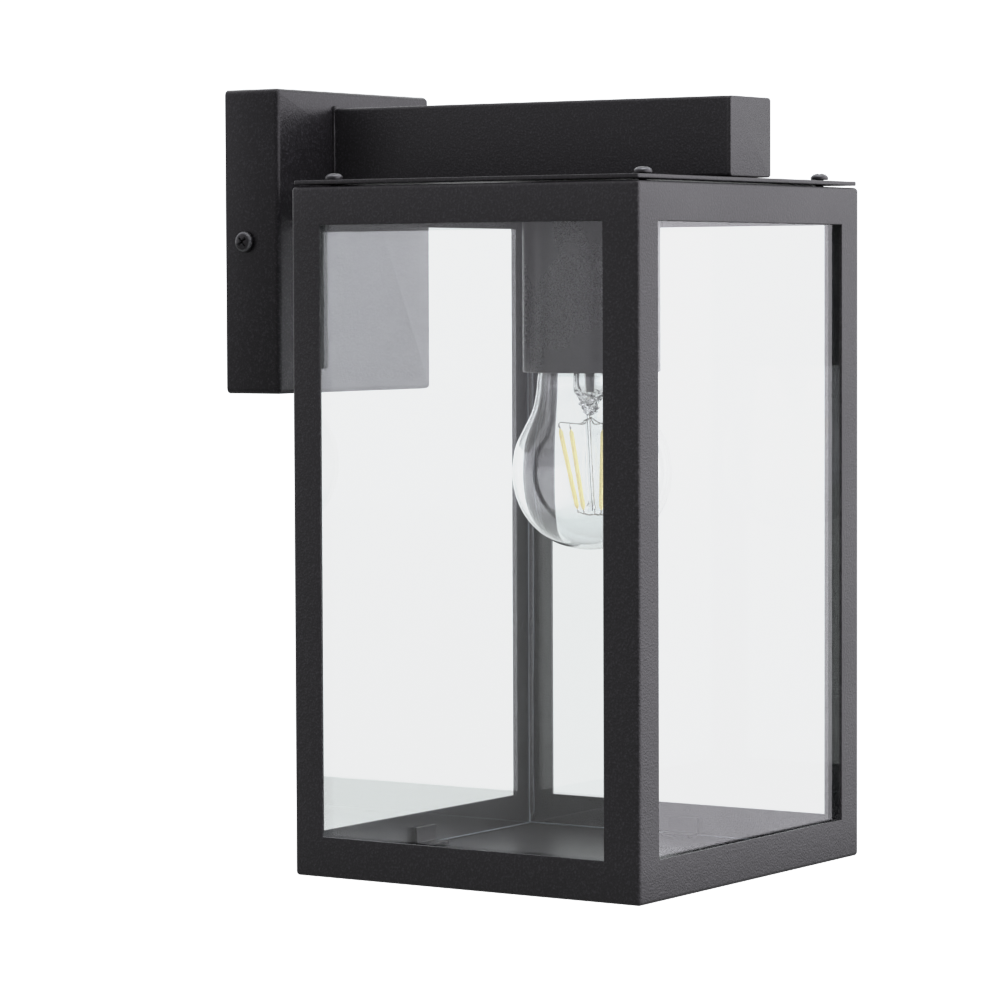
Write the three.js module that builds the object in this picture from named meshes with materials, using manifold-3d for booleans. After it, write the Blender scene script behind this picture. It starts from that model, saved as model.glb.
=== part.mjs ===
// Outdoor wall lantern: a glazed box cage hung from a square arm on a folded wall plate.
// Units are millimetres, +Z is up. The origin is the centre of the wall plate's back, on the
// wall plane. The wall is on the +Y side, so the lantern stands out towards -Y.

import * as THREE from 'three';
import { mergeVertices } from 'three/addons/utils/BufferGeometryUtils.js';
import Module from 'manifold-3d';

const wasm = await Module();
wasm.setup();

// ---------- Driving dimensions ----------

const GAP = 0.3; // clearance kept between pieces that touch
const SHEET = 1.2; // steel sheet and angle thickness

// Wall plate, a folded box open to the wall
const PLATE_WIDTH = 100;
const PLATE_HEIGHT = 115;
const PLATE_DEPTH = 25;
const PLATE_FRONT = -PLATE_DEPTH;
const SIDE_SCREW_FROM_WALL = 9.4;
const PLATE_SCREW_HEAD = 4;
const PLATE_SCREW_HEIGHT = 2.6;
const PLATE_SCREW_SHANK = 1.6;
const EARTH_SCREW_HEAD = 3.6;
const EARTH_SCREW_HEIGHT = 2.2;
const EARTH_SCREW_SHANK = 1.8;
const EARTH_SCREW_REACH = 1.5;
const EARTH_SCREW_X = 13;
const SIDE_SCREW_HOLE = 2.3;
const WIRE_HOLE = 8;
const BRACKET_HEIGHT = 22;
const BRACKET_SHEET = 1.5;
const BRACKET_FLANGE = 15;
const BRACKET_TAPPED_HOLE = 1.9;
const EARTH_HOLE = 2.1;
const WASHER_SPACE = 1.6; // room under the earth screw's head for the wire's eye
const BLOCK_WAY = 8;
const BLOCK_Z = -34;
const BLOCK_FRONT = PLATE_FRONT + SHEET + GAP;

// Cage, a welded frame of bent angle
const CAGE_WIDTH = 158;
const CAGE_DEPTH = 150;
const CAGE_HEIGHT = 254;
const CAGE_BEHIND = 27.5; // space between the wall plate's front and the cage's back
const CAGE_TOP = 19.5;
const CAGE_BOTTOM = CAGE_TOP - CAGE_HEIGHT;
const CAGE_REAR = PLATE_FRONT - CAGE_BEHIND;
const CAGE_FRONT = CAGE_REAR - CAGE_DEPTH;
const CAGE_SIDE = CAGE_WIDTH / 2;
const POST_FACE = 13; // leg of each post on the front and rear faces
const POST_SIDE_FRONT = 15; // leg of the front posts on the side faces
const POST_SIDE_REAR = 12.5; // leg of the rear posts on the side faces
const TOP_RAIL = 14;
const TOP_FLANGE = 12;
const BOTTOM_RAIL = 15;
const BOTTOM_FLANGE = 12;

// Top sheet and its screws
const TOP_SHEET = 1.5;
const TOP_SHEET_GAP = 0.8; // shadow line between the cage and the sheet
const TOP_SHEET_INSET = 0.5;
const TOP_SHEET_UNDER = CAGE_TOP + TOP_SHEET_GAP;
const TOP_SHEET_UPPER = TOP_SHEET_UNDER + TOP_SHEET;
const TOP_SCREW_HEAD = 3.3;
const TOP_SCREW_HEIGHT = 2.6;
const SCREW_SHANK = 1.6;
const SCREW_HOLE = 1.9;
const SCREW_REACH = 6; // length of each screw's shank
const TOP_SCREW_SIDE_INSET = 16;
const TOP_SCREW_END_INSET = 8;

// Arm, a square tube
const ARM_SIZE = 29;
const ARM_WALL = 1.5;
const ARM_END_INSET = 1;
const ARM_UNDER = TOP_SHEET_UPPER + GAP;
const ARM_TOP = ARM_UNDER + ARM_SIZE;
const ARM_REAR = PLATE_FRONT - GAP;
const ARM_FRONT = CAGE_FRONT + ARM_END_INSET;
const WIRE_LEVEL = ARM_UNDER + ARM_SIZE / 2;

// Glazing
const GLASS = 2;
const PANE_GAP = 1; // space between each pane and the steel in front of it
const PANE_UPPER = CAGE_TOP - SHEET - GAP;
const FLOOR_UPPER = CAGE_BOTTOM + SHEET + GAP + SHEET;
const PANE_LOWER = FLOOR_UPPER + GAP;
const CLIP_WIDTH = 13;
const CLIP_HEIGHT = 7.2;
const CLIP_FOOT = 7;
const CLIP_OFFSET = -1;

// Lampholder, on a vertical axis through the top sheet
const LAMP_FROM_FRONT = 70;
const LAMP_Y = CAGE_FRONT + LAMP_FROM_FRONT;
const CUP_RADIUS = 25;
const CUP_LENGTH = 69.2;
const CUP_WALL = 1;
const CUP_TOP = TOP_SHEET_UNDER - GAP;
const CUP_MOUTH = CUP_TOP - CUP_LENGTH;
const TUBE_RADIUS = 5;
const TUBE_BORE = 3.9;
const NUT_RADIUS = 8;
const NUT_HEIGHT = 3;
const HOLDER_RADIUS = 19;
const HOLDER_BORE = 14.7;
const HOLDER_TOP = 13;
const HOLDER_MOUTH = -36;
const HOLDER_CEILING = -3;
const SHELL_RADIUS = 14.3;
const SHELL_BORE = 13.6;
const WIRE_RADIUS = 1;
const WIRE_SPACING = 2;
const WIRE_SIDES = 6;

// Bulb, a clear pear-shaped filament lamp with a 27 mm screw cap
const BULB_RADIUS = 29.2;
const BULB_BOTTOM = -115.5;
const BULB_DROP = 30; // height from the bottom to the widest ring
const BULB_WIDEST = BULB_BOTTOM + BULB_DROP;
const BULB_WALL = 0.9;
const FLANK_RADIUS = 27.7;
const FLANK_RISE = 8.5;
const THROAT_RADIUS = 21.8;
const THROAT_RISE = 21.5;
const WIDE_NECK_RADIUS = 19.7;
const WIDE_NECK_RISE = 33;
const NECK_RADIUS = 14.2;
const NECK_TOP = -36.8;
const CAP_RADIUS = 12.9;
const CAP_TOP = -13;
const CAP_SKIRT = NECK_TOP + GAP;
const THREAD_PITCH = 3.6;
const THREAD_DEPTH = 0.7;
const TIP_TOP = -9;
const FILAMENT_TOP = -69.8;
const FILAMENT_BOTTOM = -101;
const FILAMENT_TOP_RADIUS = 12.8;
const FILAMENT_BOTTOM_RADIUS = 6.9;
const FILAMENT_THICKNESS = 1.5;
const FILAMENTS = 4;
const FIRST_FILAMENT = THREE.MathUtils.degToRad(114);
const FILAMENT_STEP = THREE.MathUtils.degToRad(57);
const FILAMENT_TOP_OFFSET = 1.3; // the thin wires hold the filaments a little off the axis
const FILAMENT_BOTTOM_OFFSET = 2.2;
const FILAMENT_OFFSET_TURN = THREE.MathUtils.degToRad(-56);
const LEAD_RADIUS = 0.4;
const ABOVE = new THREE.Vector3(0, 0, GAP + LEAD_RADIUS + 0.2); // a lead over a filament's end
const HUB_DROP = 1.5; // how far the wires' crossing hangs below the filaments
const STEM_END = -65.5;
const STEM_PINCH = -60;
const STEM_SHOULDER = -56.5;
const STEM_THROAT = -46;
const STEM_FLARE = -38.5;
const PINCH_RADIUS = 2.2;
const STEM_RADIUS = 6;
const STEM_THROAT_RADIUS = 6.4;
const FLARE_RADIUS = 11.4;

// ---------- Materials ----------

const finish = (color, roughness, metalness, extra = {}) =>
  new THREE.MeshStandardMaterial({ color, roughness, metalness, ...extra });

const blackPaint = finish(0x2b2a2d, 0.62, 0.1);
const blackScrew = finish(0x232326, 0.45, 0.7);
const clearGlass = finish(0xe9efec, 0.03, 0, { transparent: true, opacity: 0.25 });
const zincSteel = finish(0xb9bcbe, 0.35, 0.9);
const nickel = finish(0xc9c8c3, 0.25, 1);
const brass = finish(0xb9954e, 0.3, 1);
const porcelain = finish(0xe9e6dc, 0.35, 0);
const blackResin = finish(0x18181a, 0.4, 0);
const terminalResin = finish(0xe4e2da, 0.5, 0);
const liveSleeve = finish(0x6a3a22, 0.5, 0);
const neutralSleeve = finish(0x2c5a9c, 0.5, 0);
const earthSleeve = finish(0x5f9a3a, 0.5, 0);
const phosphor = finish(0xe6d58a, 0.6, 0);

// ---------- Shape helpers ----------

// A block between two corners.
function block(x0, x1, y0, y1, z0, z1) {
  const geometry = new THREE.BoxGeometry(x1 - x0, y1 - y0, z1 - z0);
  geometry.translate((x0 + x1) / 2, (y0 + y1) / 2, (z0 + z1) / 2);
  return geometry;
}

// A solid of revolution about +Z. The outline lists [radius, height] pairs from low to high
// on the outside, and comes back down the inside when the piece is hollow.
function turned(outline, segments = 40) {
  const points = outline.map(([radius, height]) => new THREE.Vector2(radius, height));
  return new THREE.LatheGeometry(points, segments).rotateX(Math.PI / 2);
}

// A round bar between two heights on the +Z axis.
function bar(radius, z0, z1, segments = 24) {
  const geometry = new THREE.CylinderGeometry(radius, radius, z1 - z0, segments);
  return geometry.rotateX(Math.PI / 2).translate(0, 0, (z0 + z1) / 2);
}

// A round rod between two points.
function rod(from, to, radius, segments = 6) {
  const along = new THREE.Vector3().subVectors(to, from);
  const geometry = new THREE.CylinderGeometry(radius, radius, along.length(), segments);
  const turn = new THREE.Quaternion().setFromUnitVectors(
    new THREE.Vector3(0, 1, 0), along.clone().normalize());
  geometry.applyQuaternion(turn);
  return geometry.translate((from.x + to.x) / 2, (from.y + to.y) / 2, (from.z + to.z) / 2);
}

function toSolid(geometry) {
  const bare = geometry.clone();
  bare.deleteAttribute('normal');
  bare.deleteAttribute('uv');
  const merged = mergeVertices(bare, 1e-4);
  return new wasm.Manifold(new wasm.Mesh({
    numProp: 3,
    vertProperties: new Float32Array(merged.attributes.position.array),
    triVerts: new Uint32Array(merged.index.array),
  }));
}

function toGeometry(solid) {
  const mesh = solid.getMesh();
  const geometry = new THREE.BufferGeometry();
  geometry.setAttribute('position', new THREE.BufferAttribute(mesh.vertProperties, 3));
  geometry.setIndex(new THREE.BufferAttribute(mesh.triVerts, 1));
  geometry.computeVertexNormals();
  return geometry;
}

function join(...geometries) {
  return toGeometry(geometries.map(toSolid).reduce((sum, solid) => sum.add(solid)));
}

function cut(geometry, ...tools) {
  return toGeometry(tools.map(toSolid).reduce((rest, tool) => rest.subtract(tool),
    toSolid(geometry)));
}

// ---------- The tree of named pieces ----------

const lantern = new THREE.Group();
const fixed = new THREE.Group();
const cage = new THREE.Group();
const bulb = new THREE.Group();
bulb.position.set(0, LAMP_Y, 0);
lantern.add(fixed, cage, bulb);

function place(group, name, geometry, material, position = [0, 0, 0], turn = [0, 0, 0]) {
  const mesh = new THREE.Mesh(geometry, material);
  mesh.name = name;
  mesh.position.set(...position);
  mesh.rotation.set(...turn);
  group.add(mesh);
  return mesh;
}

// ---------- Screws, heads up along +Z, shank down, seat at height 0 ----------

function panScrew(headRadius, headHeight, shankRadius, shankLength) {
  const rim = headHeight * 0.45;
  const body = turned([
    [0, -shankLength],
    [shankRadius, -shankLength],
    [shankRadius, 0],
    [headRadius, 0],
    [headRadius, rim],
    [headRadius * 0.86, headHeight * 0.8],
    [headRadius * 0.6, headHeight],
    [0, headHeight],
  ], 20);
  const slotHalf = headRadius * 0.12;
  const reach = headRadius * 0.55;
  const floor = headHeight * 0.35;
  return cut(body,
    block(-reach, reach, -slotHalf, slotHalf, floor, headHeight + 1),
    block(-slotHalf, slotHalf, -reach, reach, floor, headHeight + 1));
}

// ---------- Wall plate, bracket and what is behind them ----------

const plateSide = PLATE_WIDTH / 2;
const plateEnd = PLATE_HEIGHT / 2;

function wallPlate() {
  const outer = block(-plateSide, plateSide, PLATE_FRONT, 0, -plateEnd, plateEnd);
  const hollow = block(-plateSide + SHEET, plateSide - SHEET, PLATE_FRONT + SHEET, 1,
    -plateEnd + SHEET, plateEnd - SHEET);
  const crossHole = bar(SIDE_SCREW_HOLE, -PLATE_WIDTH, PLATE_WIDTH, 20)
    .rotateY(Math.PI / 2).translate(0, -SIDE_SCREW_FROM_WALL, 0);
  const wireHole = bar(WIRE_HOLE, -5, 5, 24).rotateX(Math.PI / 2)
    .translate(0, PLATE_FRONT, WIRE_LEVEL);
  return cut(outer, hollow, crossHole, wireHole);
}

function wallBracket() {
  const half = plateSide - SHEET - GAP;
  const strap = block(-half, half, -BRACKET_SHEET, 0, -BRACKET_HEIGHT / 2, BRACKET_HEIGHT / 2);
  const leftFlange = block(-half, -half + BRACKET_SHEET, -BRACKET_FLANGE, -0.5,
    -BRACKET_HEIGHT / 2, BRACKET_HEIGHT / 2);
  const rightFlange = leftFlange.clone().translate(2 * half - BRACKET_SHEET, 0, 0);
  const slots = [-1, 1].map((side) => block(side * 30 - 8, side * 30 + 8, -5, 5, -2.5, 2.5));
  const tapped = bar(BRACKET_TAPPED_HOLE, -PLATE_WIDTH, PLATE_WIDTH, 20)
    .rotateY(Math.PI / 2).translate(0, -SIDE_SCREW_FROM_WALL, 0);
  const earthHole = bar(EARTH_HOLE, -5, 5, 20).rotateX(Math.PI / 2)
    .translate(EARTH_SCREW_X, 0, 0);
  return cut(join(strap, leftFlange, rightFlange), ...slots, tapped, earthHole);
}

place(fixed, 'wall_plate', wallPlate(), blackPaint);
place(fixed, 'wall_bracket', wallBracket(), zincSteel);

for (const [side, label] of [[-1, 'left'], [1, 'right']]) {
  place(fixed, `plate_screw_${label}`, panScrew(
    PLATE_SCREW_HEAD, PLATE_SCREW_HEIGHT, PLATE_SCREW_SHANK, SCREW_REACH), blackScrew,
    [side * (plateSide + GAP), -SIDE_SCREW_FROM_WALL, 0], [0, side * Math.PI / 2, 0]);
}

place(fixed, 'earth_screw', panScrew(EARTH_SCREW_HEAD, EARTH_SCREW_HEIGHT, EARTH_SCREW_SHANK,
  EARTH_SCREW_REACH), brass,
  [EARTH_SCREW_X, -BRACKET_SHEET - GAP - WASHER_SPACE, 0], [Math.PI / 2, 0, 0]);

// Terminal block: three ways side by side, stuck to the inside of the wall plate's face
function terminalBlock() {
  const half = 1.5 * BLOCK_WAY;
  const body = block(-half, half, BLOCK_FRONT, BLOCK_FRONT + 12, BLOCK_Z - 9, BLOCK_Z + 9);
  const cuts = [];
  for (const way of [-1, 0, 1]) {
    cuts.push(bar(1.8, BLOCK_Z - 10, BLOCK_Z + 10, 16).translate(way * BLOCK_WAY,
      BLOCK_FRONT + 5, 0));
    cuts.push(bar(2, 0, 10, 16).rotateX(-Math.PI / 2).translate(way * BLOCK_WAY,
      BLOCK_FRONT + 7, BLOCK_Z + 4));
  }
  for (const groove of [-0.5, 0.5]) {
    const x = groove * BLOCK_WAY;
    cuts.push(block(x - 0.6, x + 0.6, BLOCK_FRONT + 8.5, BLOCK_FRONT + 13, BLOCK_Z - 10,
      BLOCK_Z + 10));
  }
  return cut(body, ...cuts);
}

place(fixed, 'terminal_block', terminalBlock(), terminalResin);
for (const [way, label] of [[-1, 'earth'], [0, 'live'], [1, 'neutral']]) {
  const slot = block(-1.3, 1.3, -0.25, 0.25, 2.2, 5);
  place(fixed, `terminal_screw_${label}`, cut(bar(1.6, 0, 3, 16), slot), brass,
    [way * BLOCK_WAY, BLOCK_FRONT + 7.4, BLOCK_Z + 4], [-Math.PI / 2, 0, 0]);
}

// ---------- Arm ----------

const armHalf = ARM_SIZE / 2;
const armInside = armHalf - ARM_WALL;

function armTube() {
  const outer = block(-armHalf, armHalf, ARM_FRONT + ARM_WALL + GAP, ARM_REAR, ARM_UNDER, ARM_TOP);
  const hollow = block(-armInside, armInside, ARM_FRONT - 5, ARM_REAR + 5,
    ARM_UNDER + ARM_WALL, ARM_TOP - ARM_WALL);
  const tubeHole = bar(TUBE_RADIUS + GAP, ARM_UNDER - 2, ARM_UNDER + 3, 24)
    .translate(0, LAMP_Y, 0);
  return cut(outer, hollow, tubeHole);
}

place(fixed, 'arm', armTube(), blackPaint);
place(fixed, 'arm_end', block(-armHalf, armHalf, ARM_FRONT, ARM_FRONT + ARM_WALL,
  ARM_UNDER, ARM_TOP), blackPaint);

// ---------- Top sheet and the screws that hold the cage up ----------

const screwX = CAGE_SIDE - TOP_SCREW_SIDE_INSET;
const screwYs = { front: CAGE_FRONT + TOP_SCREW_END_INSET, rear: CAGE_REAR - TOP_SCREW_END_INSET };

function topSheet() {
  const sheet = block(-CAGE_SIDE + TOP_SHEET_INSET, CAGE_SIDE - TOP_SHEET_INSET,
    CAGE_FRONT + TOP_SHEET_INSET, CAGE_REAR - TOP_SHEET_INSET, TOP_SHEET_UNDER, TOP_SHEET_UPPER);
  const holes = [bar(TUBE_RADIUS + GAP, TOP_SHEET_UNDER - 2, TOP_SHEET_UPPER + 2)
    .translate(0, LAMP_Y, 0)];
  for (const y of Object.values(screwYs)) {
    for (const x of [-screwX, screwX]) {
      holes.push(bar(SCREW_HOLE, TOP_SHEET_UNDER - 2, TOP_SHEET_UPPER + 2, 16).translate(x, y, 0));
    }
  }
  return cut(sheet, ...holes);
}

place(fixed, 'top_sheet', topSheet(), blackPaint);
for (const [end, y] of Object.entries(screwYs)) {
  for (const [side, label] of [[-1, 'left'], [1, 'right']]) {
    place(fixed, `top_screw_${end}_${label}`, panScrew(
      TOP_SCREW_HEAD, TOP_SCREW_HEIGHT, SCREW_SHANK, SCREW_REACH), blackScrew,
      [side * screwX, y, TOP_SHEET_UPPER + GAP]);
  }
}

// ---------- Lampholder ----------

const onAxis = [0, LAMP_Y, 0];
const tubeTop = ARM_UNDER + ARM_WALL + GAP + NUT_HEIGHT + 3;
const tubeLow = HOLDER_TOP - 6;

place(fixed, 'threaded_tube', turned([
  [TUBE_BORE, tubeLow],
  [TUBE_RADIUS, tubeLow],
  [TUBE_RADIUS, tubeTop],
  [TUBE_BORE, tubeTop],
  [TUBE_BORE, tubeLow],
], 24), zincSteel, onAxis);

function hexNut(z0) {
  return cut(bar(NUT_RADIUS, z0, z0 + NUT_HEIGHT, 6), bar(TUBE_RADIUS + GAP, z0 - 1,
    z0 + NUT_HEIGHT + 1, 24));
}

place(fixed, 'arm_nut', hexNut(ARM_UNDER + ARM_WALL + GAP), zincSteel, onAxis);
place(fixed, 'cup_nut', hexNut(CUP_TOP - CUP_WALL - GAP - NUT_HEIGHT), zincSteel, onAxis);

place(fixed, 'lampholder_cup', turned([
  [CUP_RADIUS - CUP_WALL, CUP_MOUTH],
  [CUP_RADIUS, CUP_MOUTH],
  [CUP_RADIUS, CUP_TOP],
  [TUBE_RADIUS + GAP, CUP_TOP],
  [TUBE_RADIUS + GAP, CUP_TOP - CUP_WALL],
  [CUP_RADIUS - CUP_WALL, CUP_TOP - CUP_WALL],
  [CUP_RADIUS - CUP_WALL, CUP_MOUTH],
], 40), blackPaint, onAxis);

place(fixed, 'lampholder_body', turned([
  [HOLDER_BORE, HOLDER_MOUTH],
  [HOLDER_RADIUS, HOLDER_MOUTH],
  [HOLDER_RADIUS, 4],
  [HOLDER_RADIUS - 6, HOLDER_TOP],
  [TUBE_RADIUS + GAP, HOLDER_TOP],
  [TUBE_RADIUS + GAP, HOLDER_CEILING],
  [HOLDER_BORE, HOLDER_CEILING],
  [HOLDER_BORE, HOLDER_MOUTH],
], 32), blackResin, onAxis);

place(fixed, 'lampholder_shell', turned([
  [SHELL_BORE, HOLDER_MOUTH + 2],
  [SHELL_RADIUS, HOLDER_MOUTH + 2],
  [SHELL_RADIUS, CAP_TOP + 3],
  [SHELL_BORE, CAP_TOP + 3],
  [SHELL_BORE, HOLDER_MOUTH + 2],
], 32), brass, onAxis);

// The centre contact is a strip across the bore, sprung down against the bulb's tip.
place(fixed, 'lampholder_contact', join(
  block(-4, 4, -12, -11, -8, HOLDER_CEILING - GAP),
  block(-4, 4, -12, 3, -8, -7.2),
), brass, onAxis);

// ---------- Wires, held in the arm and the threaded tube all the way ----------

function wire(points, steps) {
  const section = new THREE.Shape();
  for (let side = 0; side < WIRE_SIDES; side += 1) {
    const angle = (2 * Math.PI * side) / WIRE_SIDES;
    const x = WIRE_RADIUS * Math.cos(angle);
    const y = WIRE_RADIUS * Math.sin(angle);
    if (side === 0) section.moveTo(x, y);
    else section.lineTo(x, y);
  }
  const route = new THREE.CatmullRomCurve3(points.map((p) => new THREE.Vector3(...p)), false,
    'centripetal');
  return new THREE.ExtrudeGeometry(section, { steps, bevelEnabled: false, extrudePath: route });
}

const blockTop = BLOCK_Z + 9 + GAP;
const wireEnd = tubeLow - 4;

function holderWire(blockX, laneX) {
  const wireY = BLOCK_FRONT + 5;
  return wire([
    [blockX, wireY, blockTop],
    [blockX, wireY, blockTop + 8],
    [(blockX + laneX) / 2, wireY, 0],
    [laneX, wireY, WIRE_LEVEL - 12],
    [laneX, wireY - 2, WIRE_LEVEL - 3],
    [laneX, PLATE_FRONT - 8, WIRE_LEVEL],
    [laneX, PLATE_FRONT - 40, WIRE_LEVEL],
    [laneX, LAMP_Y + 30, WIRE_LEVEL],
    [laneX, LAMP_Y + 8, WIRE_LEVEL - 0.5],
    [laneX, LAMP_Y + 1, WIRE_LEVEL - 4],
    [laneX, LAMP_Y, tubeTop - 1],
    [laneX, LAMP_Y, (tubeTop + wireEnd) / 2],
    [laneX, LAMP_Y, wireEnd],
  ], 44);
}

place(fixed, 'wire_live', holderWire(0, -WIRE_SPACING), liveSleeve);
place(fixed, 'wire_neutral', holderWire(BLOCK_WAY, WIRE_SPACING), neutralSleeve);
place(fixed, 'wire_earth', wire([
  [-BLOCK_WAY, BLOCK_FRONT + 5, blockTop],
  [-BLOCK_WAY, BLOCK_FRONT + 7, blockTop + 8],
  [-7, -14, -14],
  [-3, -9, -7],
  [3, -5, -2.5],
  [8.6, -3, -0.6],
], 18), earthSleeve);

// ---------- Cage ----------

// Bent angle: two legs of sheet that meet along an edge, as one body.
function angle(legA, legB) {
  return join(legA, legB);
}

function post(side, front) {
  const legSide = front ? POST_SIDE_FRONT : POST_SIDE_REAR;
  const y0 = front ? CAGE_FRONT : CAGE_REAR - SHEET;
  const sideY0 = front ? CAGE_FRONT : CAGE_REAR - legSide;
  const x0 = side < 0 ? -CAGE_SIDE : CAGE_SIDE - POST_FACE;
  const sideX0 = side < 0 ? -CAGE_SIDE : CAGE_SIDE - SHEET;
  return angle(
    block(x0, x0 + POST_FACE, y0, y0 + SHEET, CAGE_BOTTOM, CAGE_TOP),
    block(sideX0, sideX0 + SHEET, sideY0, sideY0 + legSide, CAGE_BOTTOM, CAGE_TOP),
  );
}

for (const [end, front] of [['front', true], ['rear', false]]) {
  for (const [label, side] of [['left', -1], ['right', 1]]) {
    place(cage, `post_${end}_${label}`, post(side, front), blackPaint);
  }
}

const railX = CAGE_SIDE - POST_FACE - GAP;
const sideRailFront = CAGE_FRONT + POST_SIDE_FRONT + GAP;
const sideRailRear = CAGE_REAR - POST_SIDE_REAR - GAP;

// A rail across the front or rear. dir is +1 at the front, where the flange runs to +Y.
function crossRail(faceY, dir, legZ0, legZ1, flangeZ0, flangeDepth) {
  const legY = [faceY, faceY + dir * SHEET].sort((a, b) => a - b);
  const flangeY = [faceY, faceY + dir * flangeDepth].sort((a, b) => a - b);
  return angle(
    block(-railX, railX, legY[0], legY[1], legZ0, legZ1),
    block(-railX, railX, flangeY[0], flangeY[1], flangeZ0, flangeZ0 + SHEET),
  );
}

// A rail along the left or right side.
function sideRail(side, legZ0, legZ1, flangeZ0, flangeDepth) {
  const legX = [side * CAGE_SIDE, side * (CAGE_SIDE - SHEET)].sort((a, b) => a - b);
  const flangeX = [side * CAGE_SIDE, side * (CAGE_SIDE - flangeDepth)].sort((a, b) => a - b);
  return angle(
    block(legX[0], legX[1], sideRailFront, sideRailRear, legZ0, legZ1),
    block(flangeX[0], flangeX[1], sideRailFront, sideRailRear, flangeZ0, flangeZ0 + SHEET),
  );
}

for (const [label, faceY, dir] of [['front', CAGE_FRONT, 1], ['rear', CAGE_REAR, -1]]) {
  const topRail = crossRail(faceY, dir, CAGE_TOP - TOP_RAIL, CAGE_TOP, CAGE_TOP - SHEET,
    TOP_FLANGE);
  const holes = [-screwX, screwX].map((x) => bar(SCREW_HOLE, CAGE_TOP - 5, CAGE_TOP + 5, 16)
    .translate(x, screwYs[label], 0));
  place(cage, `top_rail_${label}`, cut(topRail, ...holes), blackPaint);
  place(cage, `bottom_rail_${label}`, crossRail(faceY, dir, CAGE_BOTTOM,
    CAGE_BOTTOM + BOTTOM_RAIL, CAGE_BOTTOM, BOTTOM_FLANGE), blackPaint);
}

for (const [label, side] of [['left', -1], ['right', 1]]) {
  place(cage, `top_rail_${label}`, sideRail(side, CAGE_TOP - TOP_RAIL, CAGE_TOP,
    CAGE_TOP - SHEET, TOP_FLANGE), blackPaint);
  place(cage, `bottom_rail_${label}`, sideRail(side, CAGE_BOTTOM, CAGE_BOTTOM + BOTTOM_RAIL,
    CAGE_BOTTOM, BOTTOM_FLANGE), blackPaint);
}

const insideX = CAGE_SIDE - SHEET - GAP;
const insideFront = CAGE_FRONT + SHEET + GAP;
const insideRear = CAGE_REAR - SHEET - GAP;

place(cage, 'floor_sheet', block(-insideX, insideX, insideFront, insideRear,
  FLOOR_UPPER - SHEET, FLOOR_UPPER), blackPaint);

// Between the steel and each pane is a narrow space. The front and rear panes stand between the
// side panes.
const paneX = CAGE_SIDE - SHEET - PANE_GAP;
const paneFront = CAGE_FRONT + SHEET + PANE_GAP;
const paneRear = CAGE_REAR - SHEET - PANE_GAP;
const crossPane = paneX - GLASS - GAP;
place(cage, 'pane_left', block(-paneX, -paneX + GLASS, paneFront, paneRear,
  PANE_LOWER, PANE_UPPER), clearGlass);
place(cage, 'pane_right', block(paneX - GLASS, paneX, paneFront, paneRear,
  PANE_LOWER, PANE_UPPER), clearGlass);
place(cage, 'pane_front', block(-crossPane, crossPane, paneFront, paneFront + GLASS,
  PANE_LOWER, PANE_UPPER), clearGlass);
place(cage, 'pane_rear', block(-crossPane, crossPane, paneRear - GLASS, paneRear,
  PANE_LOWER, PANE_UPPER), clearGlass);

// Each pane's foot is kept out against the rail by an upright tab with its foot on the floor.
// The tab is drawn facing +Y and turned to its pane.
function paneClip() {
  return angle(
    block(CLIP_OFFSET - CLIP_WIDTH / 2, CLIP_OFFSET + CLIP_WIDTH / 2, -SHEET, 0, 0, CLIP_HEIGHT),
    block(CLIP_OFFSET - CLIP_WIDTH / 2, CLIP_OFFSET + CLIP_WIDTH / 2, -CLIP_FOOT, 0, 0, SHEET),
  );
}

const clipZ = FLOOR_UPPER + GAP;
const clipInset = GLASS + GAP;
const middleY = (CAGE_FRONT + CAGE_REAR) / 2;
place(cage, 'pane_clip_rear', paneClip(), blackPaint, [0, paneRear - clipInset, clipZ]);
place(cage, 'pane_clip_front', paneClip(), blackPaint, [0, paneFront + clipInset, clipZ],
  [0, 0, Math.PI]);
place(cage, 'pane_clip_left', paneClip(), blackPaint, [-paneX + clipInset, middleY, clipZ],
  [0, 0, Math.PI / 2]);
place(cage, 'pane_clip_right', paneClip(), blackPaint, [paneX - clipInset, middleY, clipZ],
  [0, 0, -Math.PI / 2]);

// ---------- Bulb, drawn about its own axis ----------

// The lower half is nearly a half sphere. Above the widest ring the flank draws in, runs almost
// straight as a wide neck, and draws in again to the cap. inset gives the inner wall.
function bulbOutline(inset) {
  const flank = new THREE.SplineCurve([
    new THREE.Vector2(BULB_RADIUS - inset, BULB_WIDEST),
    new THREE.Vector2(FLANK_RADIUS - inset, BULB_WIDEST + FLANK_RISE),
    new THREE.Vector2(THROAT_RADIUS - inset, BULB_WIDEST + THROAT_RISE),
    new THREE.Vector2(WIDE_NECK_RADIUS - inset, BULB_WIDEST + WIDE_NECK_RISE),
    new THREE.Vector2(NECK_RADIUS - inset, NECK_TOP),
  ]);
  const outline = [[0, BULB_BOTTOM + inset]];
  const lowerSteps = 7;
  for (let step = 1; step < lowerSteps; step += 1) {
    const angleDown = (Math.PI / 2) * (step / lowerSteps);
    outline.push([(BULB_RADIUS - inset) * Math.sin(angleDown),
      BULB_WIDEST - (BULB_DROP - inset) * Math.cos(angleDown)]);
  }
  for (const point of flank.getPoints(9)) outline.push([point.x, point.y]);
  return outline;
}

const outside = bulbOutline(0);
const inside = bulbOutline(BULB_WALL).reverse();
place(bulb, 'bulb_glass', turned([...outside, ...inside], 32), clearGlass);

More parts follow.
